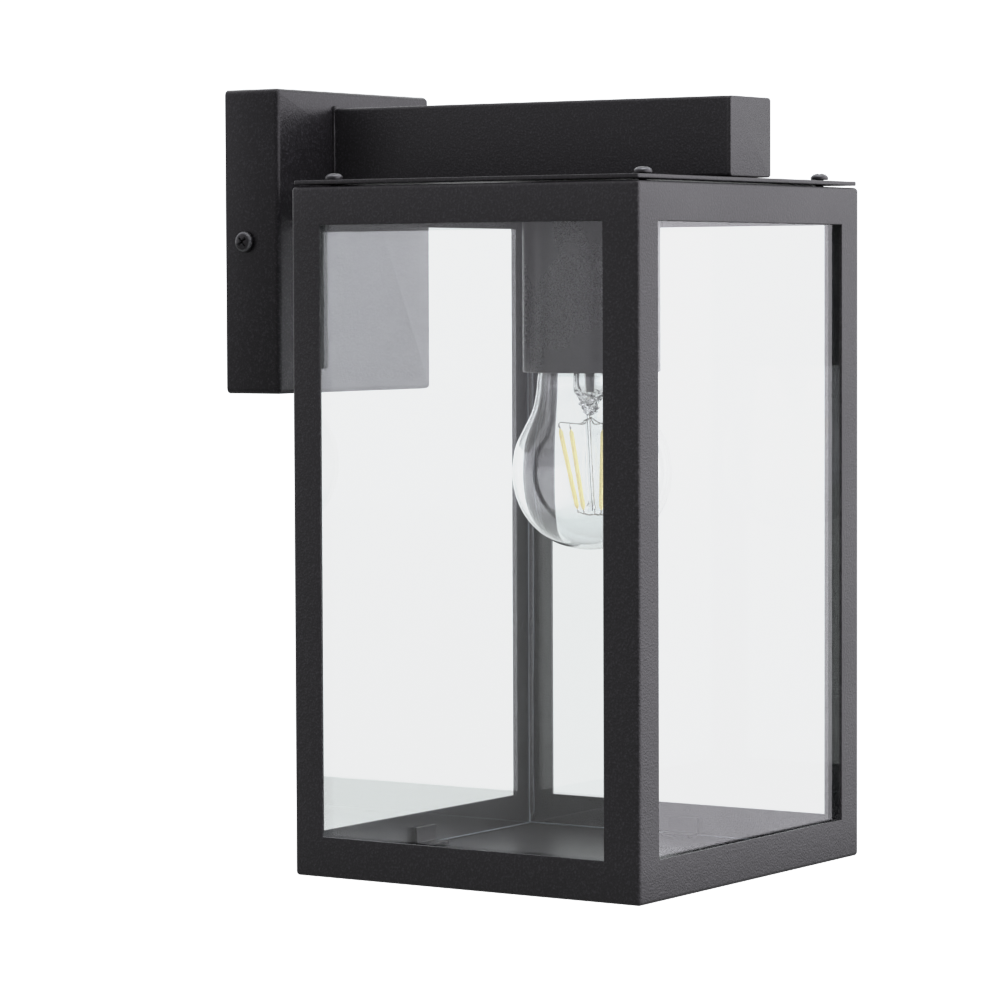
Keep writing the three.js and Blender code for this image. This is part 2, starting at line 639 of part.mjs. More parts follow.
function bulbCap() {
  const outline = [[0, CAP_SKIRT], [CAP_RADIUS, CAP_SKIRT]];
  const threadBottom = CAP_SKIRT + 3;
  const turns = Math.floor((CAP_TOP - threadBottom) / THREAD_PITCH);
  for (let turn = 0; turn < turns; turn += 1) {
    const z = threadBottom + turn * THREAD_PITCH;
    outline.push([CAP_RADIUS - THREAD_DEPTH, z]);
    outline.push([CAP_RADIUS, z + THREAD_PITCH / 2]);
  }
  outline.push([CAP_RADIUS - THREAD_DEPTH, CAP_TOP - 1]);
  outline.push([CAP_RADIUS - 3, CAP_TOP]);
  outline.push([0, CAP_TOP]);
  return turned(outline, 28);
}

place(bulb, 'bulb_cap', bulbCap(), nickel);
place(bulb, 'bulb_insulator', turned([
  [0, CAP_TOP + GAP],
  [CAP_RADIUS - 3.3, CAP_TOP + GAP],
  [5.5, TIP_TOP - 0.8],
  [0, TIP_TOP - 0.8],
], 24), blackResin);
place(bulb, 'bulb_tip', turned([
  [0, TIP_TOP - 0.5],
  [4.5, TIP_TOP - 0.5],
  [3, TIP_TOP + 0.8],
  [0, TIP_TOP + 0.8],
], 24), nickel);

place(bulb, 'bulb_stem', turned([
  [0, STEM_END],
  [PINCH_RADIUS, STEM_END],
  [PINCH_RADIUS, STEM_PINCH],
  [STEM_RADIUS, STEM_SHOULDER],
  [STEM_THROAT_RADIUS, STEM_THROAT],
  [FLARE_RADIUS, STEM_FLARE],
  [FLARE_RADIUS, NECK_TOP - GAP],
  [0, NECK_TOP - GAP],
], 24), clearGlass);

const filamentTops = [];
const filamentEnds = [];
function filamentPoint(turn, radius, offset, z) {
  return new THREE.Vector3(
    radius * Math.cos(turn) + offset * Math.cos(FILAMENT_OFFSET_TURN),
    radius * Math.sin(turn) + offset * Math.sin(FILAMENT_OFFSET_TURN),
    z,
  );
}

for (let index = 0; index < FILAMENTS; index += 1) {
  const turn = FIRST_FILAMENT + index * FILAMENT_STEP;
  const top = filamentPoint(turn, FILAMENT_TOP_RADIUS, FILAMENT_TOP_OFFSET, FILAMENT_TOP);
  const end = filamentPoint(turn, FILAMENT_BOTTOM_RADIUS, FILAMENT_BOTTOM_OFFSET,
    FILAMENT_BOTTOM);
  filamentTops.push(top);
  filamentEnds.push(end);
  place(bulb, `filament_${index + 1}`, rod(top, end, FILAMENT_THICKNESS / 2), phosphor);
}

// Two leads come out of the stem, and each forks to the tops of two filaments. A third wire
// runs down the middle to a cross that joins the lower ends.
for (const [label, picks, side] of [['left', [0, 1], -1], ['right', [2, 3], 1]]) {
  const root = new THREE.Vector3(side * 1.6, 0, STEM_END - GAP - LEAD_RADIUS);
  const fork = picks.map((pick) => rod(root, filamentTops[pick].clone().add(ABOVE), LEAD_RADIUS));
  place(bulb, `bulb_lead_${label}`, join(...fork), nickel);
}
const hub = filamentPoint(0, 0, FILAMENT_BOTTOM_OFFSET, FILAMENT_BOTTOM - HUB_DROP);
const cross = filamentEnds.map((end) => rod(hub, end.clone().sub(ABOVE), LEAD_RADIUS));
place(bulb, 'bulb_centre_wire', join(
  rod(new THREE.Vector3(0, 0, STEM_END - GAP), hub, LEAD_RADIUS), ...cross), nickel);

export default lantern;
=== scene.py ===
"""Outdoor wall lantern: the finished surfaces and materials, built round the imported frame.

The file is laid out as an add-on. Each operator makes one piece or one group of like pieces, and
the sidebar panel lists them in the order in which they are made. All lengths are in metres.
"""

import math

import bmesh
import bpy
import numpy as np
from bpy.props import FloatProperty, FloatVectorProperty, IntProperty, PointerProperty
from bpy.types import Operator, Panel, PropertyGroup
from mathutils import Matrix, Vector


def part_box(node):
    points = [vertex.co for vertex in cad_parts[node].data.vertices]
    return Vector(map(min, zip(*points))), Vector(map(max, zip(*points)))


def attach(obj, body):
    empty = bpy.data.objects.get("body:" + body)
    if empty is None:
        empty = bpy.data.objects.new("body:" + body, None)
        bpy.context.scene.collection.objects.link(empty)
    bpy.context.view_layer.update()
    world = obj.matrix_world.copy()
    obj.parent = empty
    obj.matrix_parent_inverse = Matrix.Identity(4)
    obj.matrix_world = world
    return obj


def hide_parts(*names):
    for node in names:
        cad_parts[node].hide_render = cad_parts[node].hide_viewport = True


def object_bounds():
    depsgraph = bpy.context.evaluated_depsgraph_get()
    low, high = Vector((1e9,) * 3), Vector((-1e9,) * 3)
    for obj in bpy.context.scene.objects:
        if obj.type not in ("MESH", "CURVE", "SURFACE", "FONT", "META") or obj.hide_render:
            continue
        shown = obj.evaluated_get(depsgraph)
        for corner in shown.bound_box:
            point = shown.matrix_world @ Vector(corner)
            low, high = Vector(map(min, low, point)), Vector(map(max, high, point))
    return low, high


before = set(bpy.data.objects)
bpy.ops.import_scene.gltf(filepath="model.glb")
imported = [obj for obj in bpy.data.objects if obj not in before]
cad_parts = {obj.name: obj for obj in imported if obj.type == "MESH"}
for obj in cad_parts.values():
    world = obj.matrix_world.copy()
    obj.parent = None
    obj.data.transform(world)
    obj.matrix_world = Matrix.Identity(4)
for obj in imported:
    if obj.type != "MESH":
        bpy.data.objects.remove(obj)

CAD_BOX = [list(corner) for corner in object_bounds()]

bl_info = {
    "name": "Wall Lantern",
    "version": (1, 0, 0),
    "blender": (4, 5, 0),
    "location": "3D View > Sidebar > Lantern",
    "description": "Builds the finished surfaces and materials of a glazed outdoor wall lantern",
    "category": "Add Mesh",
}

MM = 0.001
SHEET = 1.2 * MM
FULL_TURN = 2.0 * math.pi
BRACKET = "bracket"
CAGE = "cage"
BULB = "bulb"


# ---------------------------------------------------------------------------
# Sizes and colours a user would change
# ---------------------------------------------------------------------------

def length(name, description, millimetres):
    """A length property whose default is given in millimetres."""
    return FloatProperty(name=name, description=description, default=millimetres * MM,
                         subtype="DISTANCE", unit="LENGTH", precision=5)


def colour(name, description, red, green, blue):
    """A linear colour property."""
    return FloatVectorProperty(name=name, description=description, subtype="COLOR", size=3,
                               default=(red, green, blue), min=0.0, max=1.0)


class LanternSizes(PropertyGroup):
    """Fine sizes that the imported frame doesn't hold."""

    cage_bend: length("Cage bend", "Outside radius of the cage's folded corners", 1.4)
    plate_bend: length("Wall plate bend", "Outside radius of the wall plate's corners", 2.0)
    arm_bend: length("Arm corner", "Outside radius of the square arm's long corners", 1.3)
    paint_edge: length("Paint edge", "Rounding that the powder coat leaves on cut edges", 0.3)
    glass_arris: length("Glass arris", "Ground chamfer along each pane's edges", 0.4)
    bead: length("Glazing bead", "Radius of the clear sealant in the cage's corners", 1.6)
    cap_pitch: length("Cap thread pitch", "Pitch of the bulb cap's rolled thread", 3.63)
    screw_pitch: length("Screw pitch", "Thread pitch of the sheet's screws", 0.7)
    glass_wall: length("Bulb wall", "Thickness of the blown bulb glass", 0.6)
    round_steps: IntProperty(name="Round steps", default=96, min=24, max=256,
                             description="Points round each turned piece")


class LanternFinish(PropertyGroup):
    """Colours of the lantern's finishes."""

    paint: colour("Powder coat", "Colour of the textured black powder coat", 0.012, 0.0115, 0.0125)
    # A painted highlight colour: the grain's high spots are lightened towards it where light would
    # catch them.
    paint_light: colour("Powder coat highlight", "Colour of the coat's fine high spots",
                        0.036, 0.035, 0.039)
    pane: colour("Pane tint", "Faint tint of the flat glass", 0.955, 0.975, 0.968)
    pane_edge: colour("Pane edge", "Colour of the ground glass edge", 0.55, 0.60, 0.66)
    blown: colour("Bulb tint", "Tint of the blown glass", 0.985, 0.99, 0.992)
    phosphor: colour("Phosphor", "Colour of the unlit filament coating", 0.90, 0.79, 0.40)
    zinc: colour("Zinc plate", "Colour of the bright zinc plate", 0.60, 0.62, 0.64)
    nickel: colour("Nickel plate", "Colour of the bulb cap", 0.66, 0.65, 0.62)
    brass: colour("Brass", "Colour of the brass contacts and screws", 0.70, 0.50, 0.22)


# ---------------------------------------------------------------------------
# Reading the frame
# ---------------------------------------------------------------------------

def corners(*nodes):
    """Lowest and highest corner of one or more frame nodes together, as arrays."""
    boxes = np.array([[list(corner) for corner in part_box(node)] for node in nodes])
    return boxes[:, 0].min(axis=0), boxes[:, 1].max(axis=0)


def centre_of(*nodes):
    """Middle of the nodes' common box."""
    low, high = corners(*nodes)
    return (low + high) / 2.0


# ---------------------------------------------------------------------------
# Surfaces worked out with numpy
# ---------------------------------------------------------------------------

def ring_quads(rings, points, first=0, closed=False):
    """Quads between neighbouring rings of a surface, as an array of vertex numbers.

    Ring r, point p has number first + r * points + p; each quad takes the four numbers round one
    cell, and the points of a ring close on themselves. closed also joins the last ring to the
    first one.
    """
    row = np.arange(rings if closed else rings - 1)[:, None]
    column = np.arange(points)[None, :]
    after = (column + 1) % points
    above = (row + 1) % rings
    quads = np.stack([row * points + column, row * points + after,
                      above * points + after, above * points + column], axis=-1)
    return quads.reshape(-1, 4) + first


def signed_volume(vertices, faces):
    """Six times the volume inside the faces: the sum, over each face's fan of triangles, of the
    dot product of one corner with the cross product of the other two."""
    total = 0.0
    for block in faces:
        for step in range(1, block.shape[1] - 1):
            a, b, c = (vertices[block[:, k]] for k in (0, step, step + 1))
            total += float(np.einsum("ij,ij->", a, np.cross(b, c)))
    return total


def ring_surface(rings, ends="fill"):
    """Vertices and faces of a surface through closed rings, an array [ring, point, xyz].

    ends is "fill" for a flat face over the first and last ring, "poles" for a fan to the middle
    of each, "join" where the last ring meets the first, and "open" for neither.
    """
    count, points = rings.shape[:2]
    vertices = rings.reshape(-1, 3)
    faces = [ring_quads(count, points, closed=ends == "join")]
    first = np.arange(points)
    last = first + (count - 1) * points
    if ends == "fill":
        faces += [first[::-1][None, :], last[None, :]]
    elif ends == "poles":
        middles = np.stack([rings[0].mean(axis=0), rings[-1].mean(axis=0)])
        low, high = len(vertices), len(vertices) + 1
        vertices = np.concatenate([vertices, middles])
        faces.append(np.stack([np.roll(first, -1), first, np.full(points, low)], axis=1))
        faces.append(np.stack([last, np.roll(last, -1), np.full(points, high)], axis=1))
    return vertices, faces


def joined(*surfaces):
    """Several surfaces as one: their vertices in a row, and face numbers moved up to match."""
    vertices = np.concatenate([surface[0] for surface in surfaces])
    starts = np.cumsum([0] + [len(surface[0]) for surface in surfaces])
    faces = [block + start for surface, start in zip(surfaces, starts) for block in surface[1]]
    return vertices, faces


def outward(surface):
    """The surface with its faces turned so that the volume inside it is positive."""
    vertices, faces = surface
    if signed_volume(vertices, faces) < 0.0:
        faces = [block[:, ::-1] for block in faces]
    return vertices, faces


def make_piece(name, surface, materials, body, replaced=(), sharp=35.0, edge=0.0,
               attribute=None, uv=None):
    """Puts a surface into a mesh object that rides on a body and stands for frame nodes.

    sharp is the angle in degrees past which an edge stays sharp, edge the width of a bevel on
    such edges, attribute a (name, values) pair of one number per vertex, and uv one pair of
    numbers per vertex.
    """
    vertices, faces = surface
    mesh = bpy.data.meshes.new(name)
    sizes = np.concatenate([np.full(len(block), block.shape[1]) for block in faces])
    loops = np.concatenate([block.reshape(-1) for block in faces]).astype(np.int32)
    mesh.vertices.add(len(vertices))
    mesh.vertices.foreach_set("co", np.asarray(vertices, dtype=np.float32).reshape(-1))
    mesh.loops.add(len(loops))
    mesh.loops.foreach_set("vertex_index", loops)
    mesh.polygons.add(len(sizes))
    starts = np.concatenate([[0], np.cumsum(sizes)[:-1]]).astype(np.int32)
    mesh.polygons.foreach_set("loop_start", starts)
    mesh.update(calc_edges=True)
    if attribute is not None:
        layer = mesh.attributes.new(attribute[0], "FLOAT", "POINT")
        layer.data.foreach_set("value", np.asarray(attribute[1], dtype=np.float32).reshape(-1))
    if uv is not None:
        layer = mesh.uv_layers.new(name="Surface")
        layer.data.foreach_set("uv", np.asarray(uv, dtype=np.float32)[loops].reshape(-1))
    if mesh.validate():
        raise RuntimeError(f"{name} had faces that don't hold together")
    mesh.shade_smooth()
    mesh.set_sharp_from_angle(angle=math.radians(sharp))
    return finish_piece(bpy.data.objects.new(name, mesh), materials, body, replaced, edge,
                        sharp)


def finish_piece(piece, materials, body, replaced=(), edge=0.0, sharp=35.0):
    """Links a piece, gives it its materials and an optional bevel, and ties it to the frame."""
    bpy.context.scene.collection.objects.link(piece)
    for material in materials:
        piece.data.materials.append(material)
    if edge > 0.0:
        bevel = piece.modifiers.new("Soft edges", "BEVEL")
        bevel.width = edge
        bevel.segments = 2
        bevel.limit_method = "ANGLE"
        bevel.angle_limit = math.radians(sharp)
        bevel.harden_normals = True
    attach(piece, body)
    if replaced:
        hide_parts(*replaced)
    return piece


def finished_copy(node, name, materials, body, edge):
    """A frame node's own shape, merged into one skin and given soft edges."""
    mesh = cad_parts[node].data.copy()
    mesh.name = name
    skin = bmesh.new()
    skin.from_mesh(mesh)
    bmesh.ops.remove_doubles(skin, verts=skin.verts, dist=1e-6)
    bmesh.ops.dissolve_limit(skin, angle_limit=math.radians(1.0), verts=skin.verts,
                             edges=skin.edges)
    skin.to_mesh(mesh)
    skin.free()
    mesh.materials.clear()
    mesh.shade_smooth()
    mesh.set_sharp_from_angle(angle=math.radians(40.0))
    return finish_piece(bpy.data.objects.new(name, mesh), materials, body, (node,), edge,
                        40.0)


def arc(centre_x, centre_z, radius, start, stop, steps=6):
    """Points on a circle from one angle to another, in degrees, as [x, z] rows."""
    turn = np.radians(np.linspace(start, stop, steps + 1))
    return np.stack([centre_x + radius * np.cos(turn), centre_z + radius * np.sin(turn)], axis=1)


def turned_rings(profile, axis_x, axis_y, steps):
    """Rings of a turned surface: each [radius, height] row of the profile is swept round the
    upright axis, so point p of a ring stands at the angle p / steps of a full turn."""
    profile = np.asarray(profile, dtype=float)
    turn = np.arange(steps) * FULL_TURN / steps
    x = axis_x + profile[:, :1] * np.cos(turn)
    y = axis_y + profile[:, :1] * np.sin(turn)
    z = np.broadcast_to(profile[:, 1:], x.shape)
    return np.stack([x, y, z], axis=-1)


def smooth_curve(points, steps):
    """A centripetal Catmull-Rom curve through the points.

    Each stretch is a blend of straight lines between its four nearest points, weighted by knots
    that grow with the square root of the distance between points. The end stretches borrow a
    point mirrored past each end.
    """
    points = np.asarray(points, dtype=float)
    padded = np.concatenate([[2 * points[0] - points[1]], points, [2 * points[-1] - points[-2]]])
    gaps = np.sqrt(np.linalg.norm(np.diff(padded, axis=0), axis=1))
    knots = np.concatenate([[0.0], np.cumsum(gaps)])
    stretches = len(points) - 1
    place = np.linspace(0.0, stretches, steps + 1)
    index = np.minimum(place.astype(int), stretches - 1)
    k = [knots[index + step] for step in range(4)]
    p = [padded[index + step] for step in range(4)]
    t = k[1] + (k[2] - k[1]) * (place - index)

    def blend(a, b, low, high):
        weight = ((t - low) / (high - low))[:, None]
        return a * (1.0 - weight) + b * weight

    a = [blend(p[i], p[i + 1], k[i], k[i + 1]) for i in range(3)]
    b = [blend(a[i], a[i + 1], k[i], k[i + 2]) for i in range(2)]
    return blend(b[0], b[1], k[1], k[2])


def tube_rings(path, radius, sides, guide=(0.0, 0.0, 1.0)):
    """Rings of a round tube along a path. Each ring lies across the path's direction there, with
    one spoke turned as near to the guide direction as it can be; radius may vary on the way."""
    path = np.asarray(path, dtype=float)
    along = np.gradient(path, axis=0)
    along /= np.linalg.norm(along, axis=1, keepdims=True)
    guide = np.broadcast_to(np.asarray(guide, dtype=float), along.shape)
    side = np.cross(along, guide)
    side /= np.linalg.norm(side, axis=1, keepdims=True)
    spoke = np.cross(side, along)
    turn = np.arange(sides) * FULL_TURN / sides
    radius = np.broadcast_to(np.asarray(radius, dtype=float), len(path))[:, None, None]
    ring = (side[:, None, :] * np.cos(turn)[:, None] + spoke[:, None, :] * np.sin(turn)[:, None])
    return path[:, None, :] + ring * radius


def rounded_rectangle(half_a, half_b, radius, corner_steps=6):
    """A closed loop of [a, b] rows: four quarter circles of the radius joined by straights."""
    radius = max(radius, 0.02 * MM)
    turn = np.linspace(0.0, math.pi / 2.0, corner_steps + 1)
    parts = []
    for quarter, (sign_a, sign_b) in enumerate(((1, 1), (-1, 1), (-1, -1), (1, -1))):
        angle = turn + quarter * math.pi / 2.0
        parts.append(np.stack([sign_a * (half_a - radius) + radius * np.cos(angle),
                               sign_b * (half_b - radius) + radius * np.sin(angle)], axis=1))
    return np.concatenate(parts)


def in_plane(loop, depth, axis, centre):
    """Loop rows [a, b] set at a depth along an axis. a and b run along the other two axes, in
    x, y, z order."""
    out = np.empty((len(loop), 3))
    others = [k for k in range(3) if k != axis]
    out[:, others[0]] = centre[others[0]] + loop[:, 0]
    out[:, others[1]] = centre[others[1]] + loop[:, 1]
    out[:, axis] = depth
    return out


def slab(low, high, axis, corner, edge, edge_steps=3):
    """A flat closed plate between two box corners: rounded outline, and both rims rounded.

    The outline is carried through the thickness; near each face it draws in by
    edge * (1 - cos t) while the depth moves by edge * (1 - sin t), t from 0 to a right angle.
    """
    low, high = np.asarray(low, dtype=float), np.asarray(high, dtype=float)
    centre, half = (low + high) / 2.0, (high - low) / 2.0
    others = [k for k in range(3) if k != axis]
    turn = np.linspace(math.pi / 2.0, 0.0, edge_steps + 1)
    inset = np.concatenate([edge * (1 - np.cos(turn)), edge * (1 - np.cos(turn[::-1]))])
    rise = edge * (1 - np.sin(turn))
    depth = np.concatenate([low[axis] + rise, high[axis] - rise[::-1]])
    rings = [in_plane(rounded_rectangle(half[others[0]] - d, half[others[1]] - d,
                                        corner - d), z, axis, centre)
             for d, z in zip(inset, depth)]
    return ring_surface(np.array(rings), "fill")


def folded_box(low, high, wall, bend, rim_edge):
    """Rings of a folded sheet box that is open towards +Y, from the inside of its front face,
    out over the rim and back to the outside of its front face.

    The outline is a rounded rectangle in x and z. Outside, it draws in round the front edge on a
    quarter circle of the bend radius; inside, it does so on the bend radius less the wall.
    """
    centre, half = (low + high) / 2.0, (high - low) / 2.0
    inner_bend = max(bend - wall, 0.2 * MM)
    front, back = low[1], high[1]
    inside = arc(inner_bend, front + wall + inner_bend, inner_bend, 270, 180) + [wall, 0.0]
    rim = arc(wall - rim_edge, back - rim_edge, rim_edge, 0, 90, 2)
    rim = np.concatenate([rim, arc(rim_edge, back - rim_edge, rim_edge, 90, 180, 2)])
    outside = arc(bend, front + bend, bend, 180, 270)
    profile = np.concatenate([inside, rim, outside])
    return np.array([in_plane(rounded_rectangle(half[0] - inset, half[2] - inset, bend - inset),
                              depth, 1, centre) for inset, depth in profile])


def hole_ring(outline, centre, radius):
    """A round hole's rim with one point for each outline point, at the angle at which the
    outline point is seen from the hole's centre. Both lie in one plane of constant y."""
    angle = np.arctan2(outline[:, 2] - centre[2], outline[:, 0] - centre[0])
    rim = outline.copy()
    rim[:, 0] = centre[0] + radius * np.cos(angle)
    rim[:, 2] = centre[2] + radius * np.sin(angle)
    return rim


def windowed_sheet(outer, inner, kept):
    """A folded sheet with openings, from its outer and inner skin on the same grid.

    outer and inner are [u, v, xyz] grids, closed in u. kept says for each cell whether it is
    metal. Each metal cell gives one outer and one inner quad, and each grid edge between metal
    and no metal gives one quad from skin to skin, as do both ends in v.
    """
    nu, nv = outer.shape[:2]
    number = np.arange(nu * nv).reshape(nu, nv)
    following = np.roll(number, -1, axis=0)
    corner = [number[:, :-1], following[:, :-1], following[:, 1:], number[:, 1:]]
    quads = np.stack([c[kept] for c in corner], axis=1)
    faces = [quads, quads[:, ::-1] + nu * nv]
    pad = np.zeros((nu, 1), dtype=bool)
    below = np.concatenate([pad, kept], axis=1)
    above = np.concatenate([kept, pad], axis=1)
    behind = np.roll(kept, 1, axis=0)

    def rims(mask, start, stop):
        a, b = start[mask], stop[mask]
        return np.stack([b, a, a + nu * nv, b + nu * nv], axis=1)

    faces.append(rims(above & ~below, number, following))
    faces.append(rims(below & ~above, following, number))
    faces.append(rims(kept & ~behind, number[:, 1:], number[:, :-1]))
    faces.append(rims(behind & ~kept, number[:, :-1], number[:, 1:]))
    faces = [block for block in faces if len(block)]
    used = np.unique(np.concatenate([block.reshape(-1) for block in faces]))
    place = np.zeros(2 * nu * nv, dtype=int)
    place[used] = np.arange(len(used))
    vertices = np.concatenate([outer.reshape(-1, 3), inner.reshape(-1, 3)])[used]
    return vertices, [place[block] for block in faces]


def extruded(outline, start, stop, origin, turn):
    """A bar of constant section. The outline's [y, z] rows are carried along x from start to
    stop, and the bar is then turned about the upright axis and moved to its origin."""
    rings = np.zeros((2, len(outline), 3))
    rings[:, :, 1:] = outline
    rings[0, :, 0], rings[1, :, 0] = start, stop
    cos, sin = math.cos(turn), math.sin(turn)
    x, y = rings[..., 0].copy(), rings[..., 1].copy()
    rings[..., 0] = cos * x - sin * y
    rings[..., 1] = sin * x + cos * y
    return ring_surface(rings + np.asarray(origin), "fill")


# ---------------------------------------------------------------------------
# Shader node groups shared by the materials
# ---------------------------------------------------------------------------

def new_group(name, inputs, outputs):
    """An empty shader node group with float inputs {name: default} and typed outputs."""
    group = bpy.data.node_groups.new(name, "ShaderNodeTree")
    for label, default in inputs.items():
        socket = group.interface.new_socket(name=label, in_out="INPUT",
                                            socket_type="NodeSocketFloat")
        socket.default_value = default
    for label, kind in outputs.items():
        group.interface.new_socket(name=label, in_out="OUTPUT", socket_type=kind)
    return group, group.nodes.new("NodeGroupInput"), group.nodes.new("NodeGroupOutput")


def add_node(tree, kind, **settings):
    """A new node. Settings named after an input give its value, and others are properties."""
    node = tree.nodes.new(kind)
    for name, value in settings.items():
        if name in node.inputs:
            node.inputs[name].default_value = value
        else:
            setattr(node, name, value)
    return node


def maths(tree, operation, first, second=None, clamp=False):
    """A Math node on sockets or numbers, and its result."""
    node = add_node(tree, "ShaderNodeMath", operation=operation, use_clamp=clamp)
    for index, value in enumerate((first, second)):
        if value is None:
            continue
        if isinstance(value, (int, float)):
            node.inputs[index].default_value = value
        else:
            tree.links.new(value, node.inputs[index])
    return node.outputs[0]


def noise(tree, coordinates, scale, detail=2.0, roughness=0.5):
    """A noise texture's value on the coordinates. scale is a number or a socket."""
    node = add_node(tree, "ShaderNodeTexNoise", Detail=detail, Roughness=roughness)
    tree.links.new(coordinates, node.inputs["Vector"])
    if isinstance(scale, (int, float)):
        node.inputs["Scale"].default_value = scale
    else:
        tree.links.new(scale, node.inputs["Scale"])
    return node.outputs["Fac"]


def spread(tree, value, low, high, out_low=0.0, out_high=1.0):
    """Maps a value's range onto another one, and holds it there."""
    node = add_node(tree, "ShaderNodeMapRange", clamp=True)
    for label, number in (("From Min", low), ("From Max", high), ("To Min", out_low),
                          ("To Max", out_high)):
        node.inputs[label].default_value = number
    tree.links.new(value, node.inputs["Value"])
    return node.outputs["Result"]


def powder_grain_group():
    """The texture of baked powder coat: a fine sand grain on top of a slack orange peel."""
    group, entry, leave = new_group(
        "Powder grain", {"Grain": 1900.0, "Peel": 330.0, "Peel share": 0.55},
        {"Height": "NodeSocketFloat", "High spots": "NodeSocketFloat"})
    place = add_node(group, "ShaderNodeTexCoord").outputs["Object"]
    grain = noise(group, place, entry.outputs["Grain"], 2.5, 0.55)
    peel = noise(group, place, entry.outputs["Peel"], 1.0, 0.4)
    share = entry.outputs["Peel share"]
    sand = maths(group, "MULTIPLY", grain, maths(group, "SUBTRACT", 1.0, share))
    height = maths(group, "ADD", sand, maths(group, "MULTIPLY", peel, share))
    group.links.new(height, leave.inputs["Height"])
    group.links.new(spread(group, grain, 0.5, 0.72), leave.inputs["High spots"])
    return group


def handling_group():
    """What handling and dust leave on any surface: slow cloudy changes and small specks."""
    group, entry, leave = new_group(
        "Handling marks", {"Cloud scale": 24.0, "Speck scale": 900.0, "Speck amount": 0.25},
        {"Clouds": "NodeSocketFloat", "Specks": "NodeSocketFloat"})
    place = add_node(group, "ShaderNodeTexCoord").outputs["Object"]
    clouds = noise(group, place, entry.outputs["Cloud scale"], 3.0, 0.55)
    specks = noise(group, place, entry.outputs["Speck scale"], 0.0)
    floor = maths(group, "SUBTRACT", 0.86, maths(group, "MULTIPLY", entry.outputs["Speck amount"],
                                                 0.2))
    over = maths(group, "SUBTRACT", specks, floor)
    group.links.new(spread(group, clouds, 0.3, 0.7), leave.inputs["Clouds"])
    group.links.new(maths(group, "MULTIPLY", over, 12.0, clamp=True), leave.inputs["Specks"])
    return group


def fine_lines_group():
    """The drawn or turned look of plated metal: noise squeezed along one axis into fine lines."""
    group, entry, leave = new_group(
        "Fine lines", {"Density": 1400.0, "Stretch X": 1.0, "Stretch Y": 1.0, "Stretch Z": 0.05},
        {"Lines": "NodeSocketFloat"})
    place = add_node(group, "ShaderNodeTexCoord").outputs["Object"]
    squeeze = add_node(group, "ShaderNodeCombineXYZ")
    for axis in "XYZ":
        group.links.new(entry.outputs[f"Stretch {axis}"], squeeze.inputs[axis])
    scaled = add_node(group, "ShaderNodeVectorMath", operation="MULTIPLY")
    group.links.new(place, scaled.inputs[0])
    group.links.new(squeeze.outputs[0], scaled.inputs[1])
    lines = noise(group, scaled.outputs[0], entry.outputs["Density"], 3.0, 0.6)
    group.links.new(spread(group, lines, 0.3, 0.7), leave.inputs["Lines"])
    return group


GROUPS = {}


def shared(name):
    """One of the shared groups, built the first time that a material asks for it."""
    makers = {"powder": powder_grain_group, "handling": handling_group, "lines": fine_lines_group}
    if name not in GROUPS:
        GROUPS[name] = makers[name]()
    return GROUPS[name]


def place_group(tree, name, **values):
    """A group node in a material, with its own values. Underscores stand for spaces."""
    node = add_node(tree, "ShaderNodeGroup", node_tree=shared(name))
    for label, value in values.items():
        node.inputs[label.replace("_", " ")].default_value = value
    return node


def blended(tree, fraction, first, second):
    """A colour between two, by a fraction socket. Each is a socket or a colour."""
    node = add_node(tree, "ShaderNodeMix", data_type="RGBA")
    tree.links.new(fraction, node.inputs[0])
    for socket, value in ((node.inputs[6], first), (node.inputs[7], second)):
        if isinstance(value, bpy.types.NodeSocket):
            tree.links.new(value, socket)
        else:
            socket.default_value = (*value, 1.0)
    return node.outputs[2]


def bumped(tree, shader, height, strength, distance):
    """Feeds a Bump node with a height, in metres at full strength, into the shader's normal."""
    bump = add_node(tree, "ShaderNodeBump", Strength=strength, Distance=distance)
    tree.links.new(height, bump.inputs["Height"])
    tree.links.new(bump.outputs["Normal"], shader.inputs["Normal"])
    return bump


# ---------------------------------------------------------------------------
# Materials
# ---------------------------------------------------------------------------

def new_material(name, **values):
    """A material with one Principled shader, whose sockets take the given plain values."""
    material = bpy.data.materials.new(name)
    material.use_nodes = True
    tree = material.node_tree
    shader = tree.nodes["Principled BSDF"]
    for label, value in values.items():
        shader.inputs[label.replace("_", " ")].default_value = value
    return material, tree, shader


def wash(colour_value, factor):
    """A colour made lighter or darker by a factor."""
    return tuple(min(1.0, channel * factor) for channel in colour_value)


def powder_coat(finish, name, gloss, grain_height, shine=0.5):
    """Satin black powder coat with a fine sand grain. The gloss lowers the roughness, the grain
    height is how far the sand stands out, and the shine is how strongly the coat reflects."""
    material, tree, shader = new_material(name, Specular_IOR_Level=shine)
    grain = place_group(tree, "powder", Grain=1250.0, Peel=280.0, Peel_share=0.25)
    marks = place_group(tree, "handling", Cloud_scale=16.0, Speck_scale=1300.0,
                        Speck_amount=0.1)
    # Painted highlight: the grain's high spots are coloured lighter, as where light would catch
    # them.
    tone = blended(tree, grain.outputs["High spots"], tuple(finish.paint),
                   tuple(finish.paint_light))
    dusty = blended(tree, maths(tree, "MULTIPLY", marks.outputs["Specks"], 0.25), tone,
                    (0.16, 0.155, 0.15))
    tree.links.new(dusty, shader.inputs["Base Color"])
    rough = maths(tree, "ADD", 0.36 - gloss, maths(tree, "MULTIPLY", marks.outputs["Clouds"], 0.07))
    rough = maths(tree, "ADD", rough, maths(tree, "MULTIPLY", grain.outputs["High spots"], 0.06))
    tree.links.new(rough, shader.inputs["Roughness"])
    bumped(tree, shader, grain.outputs["Height"], 1.0, grain_height)
    return material


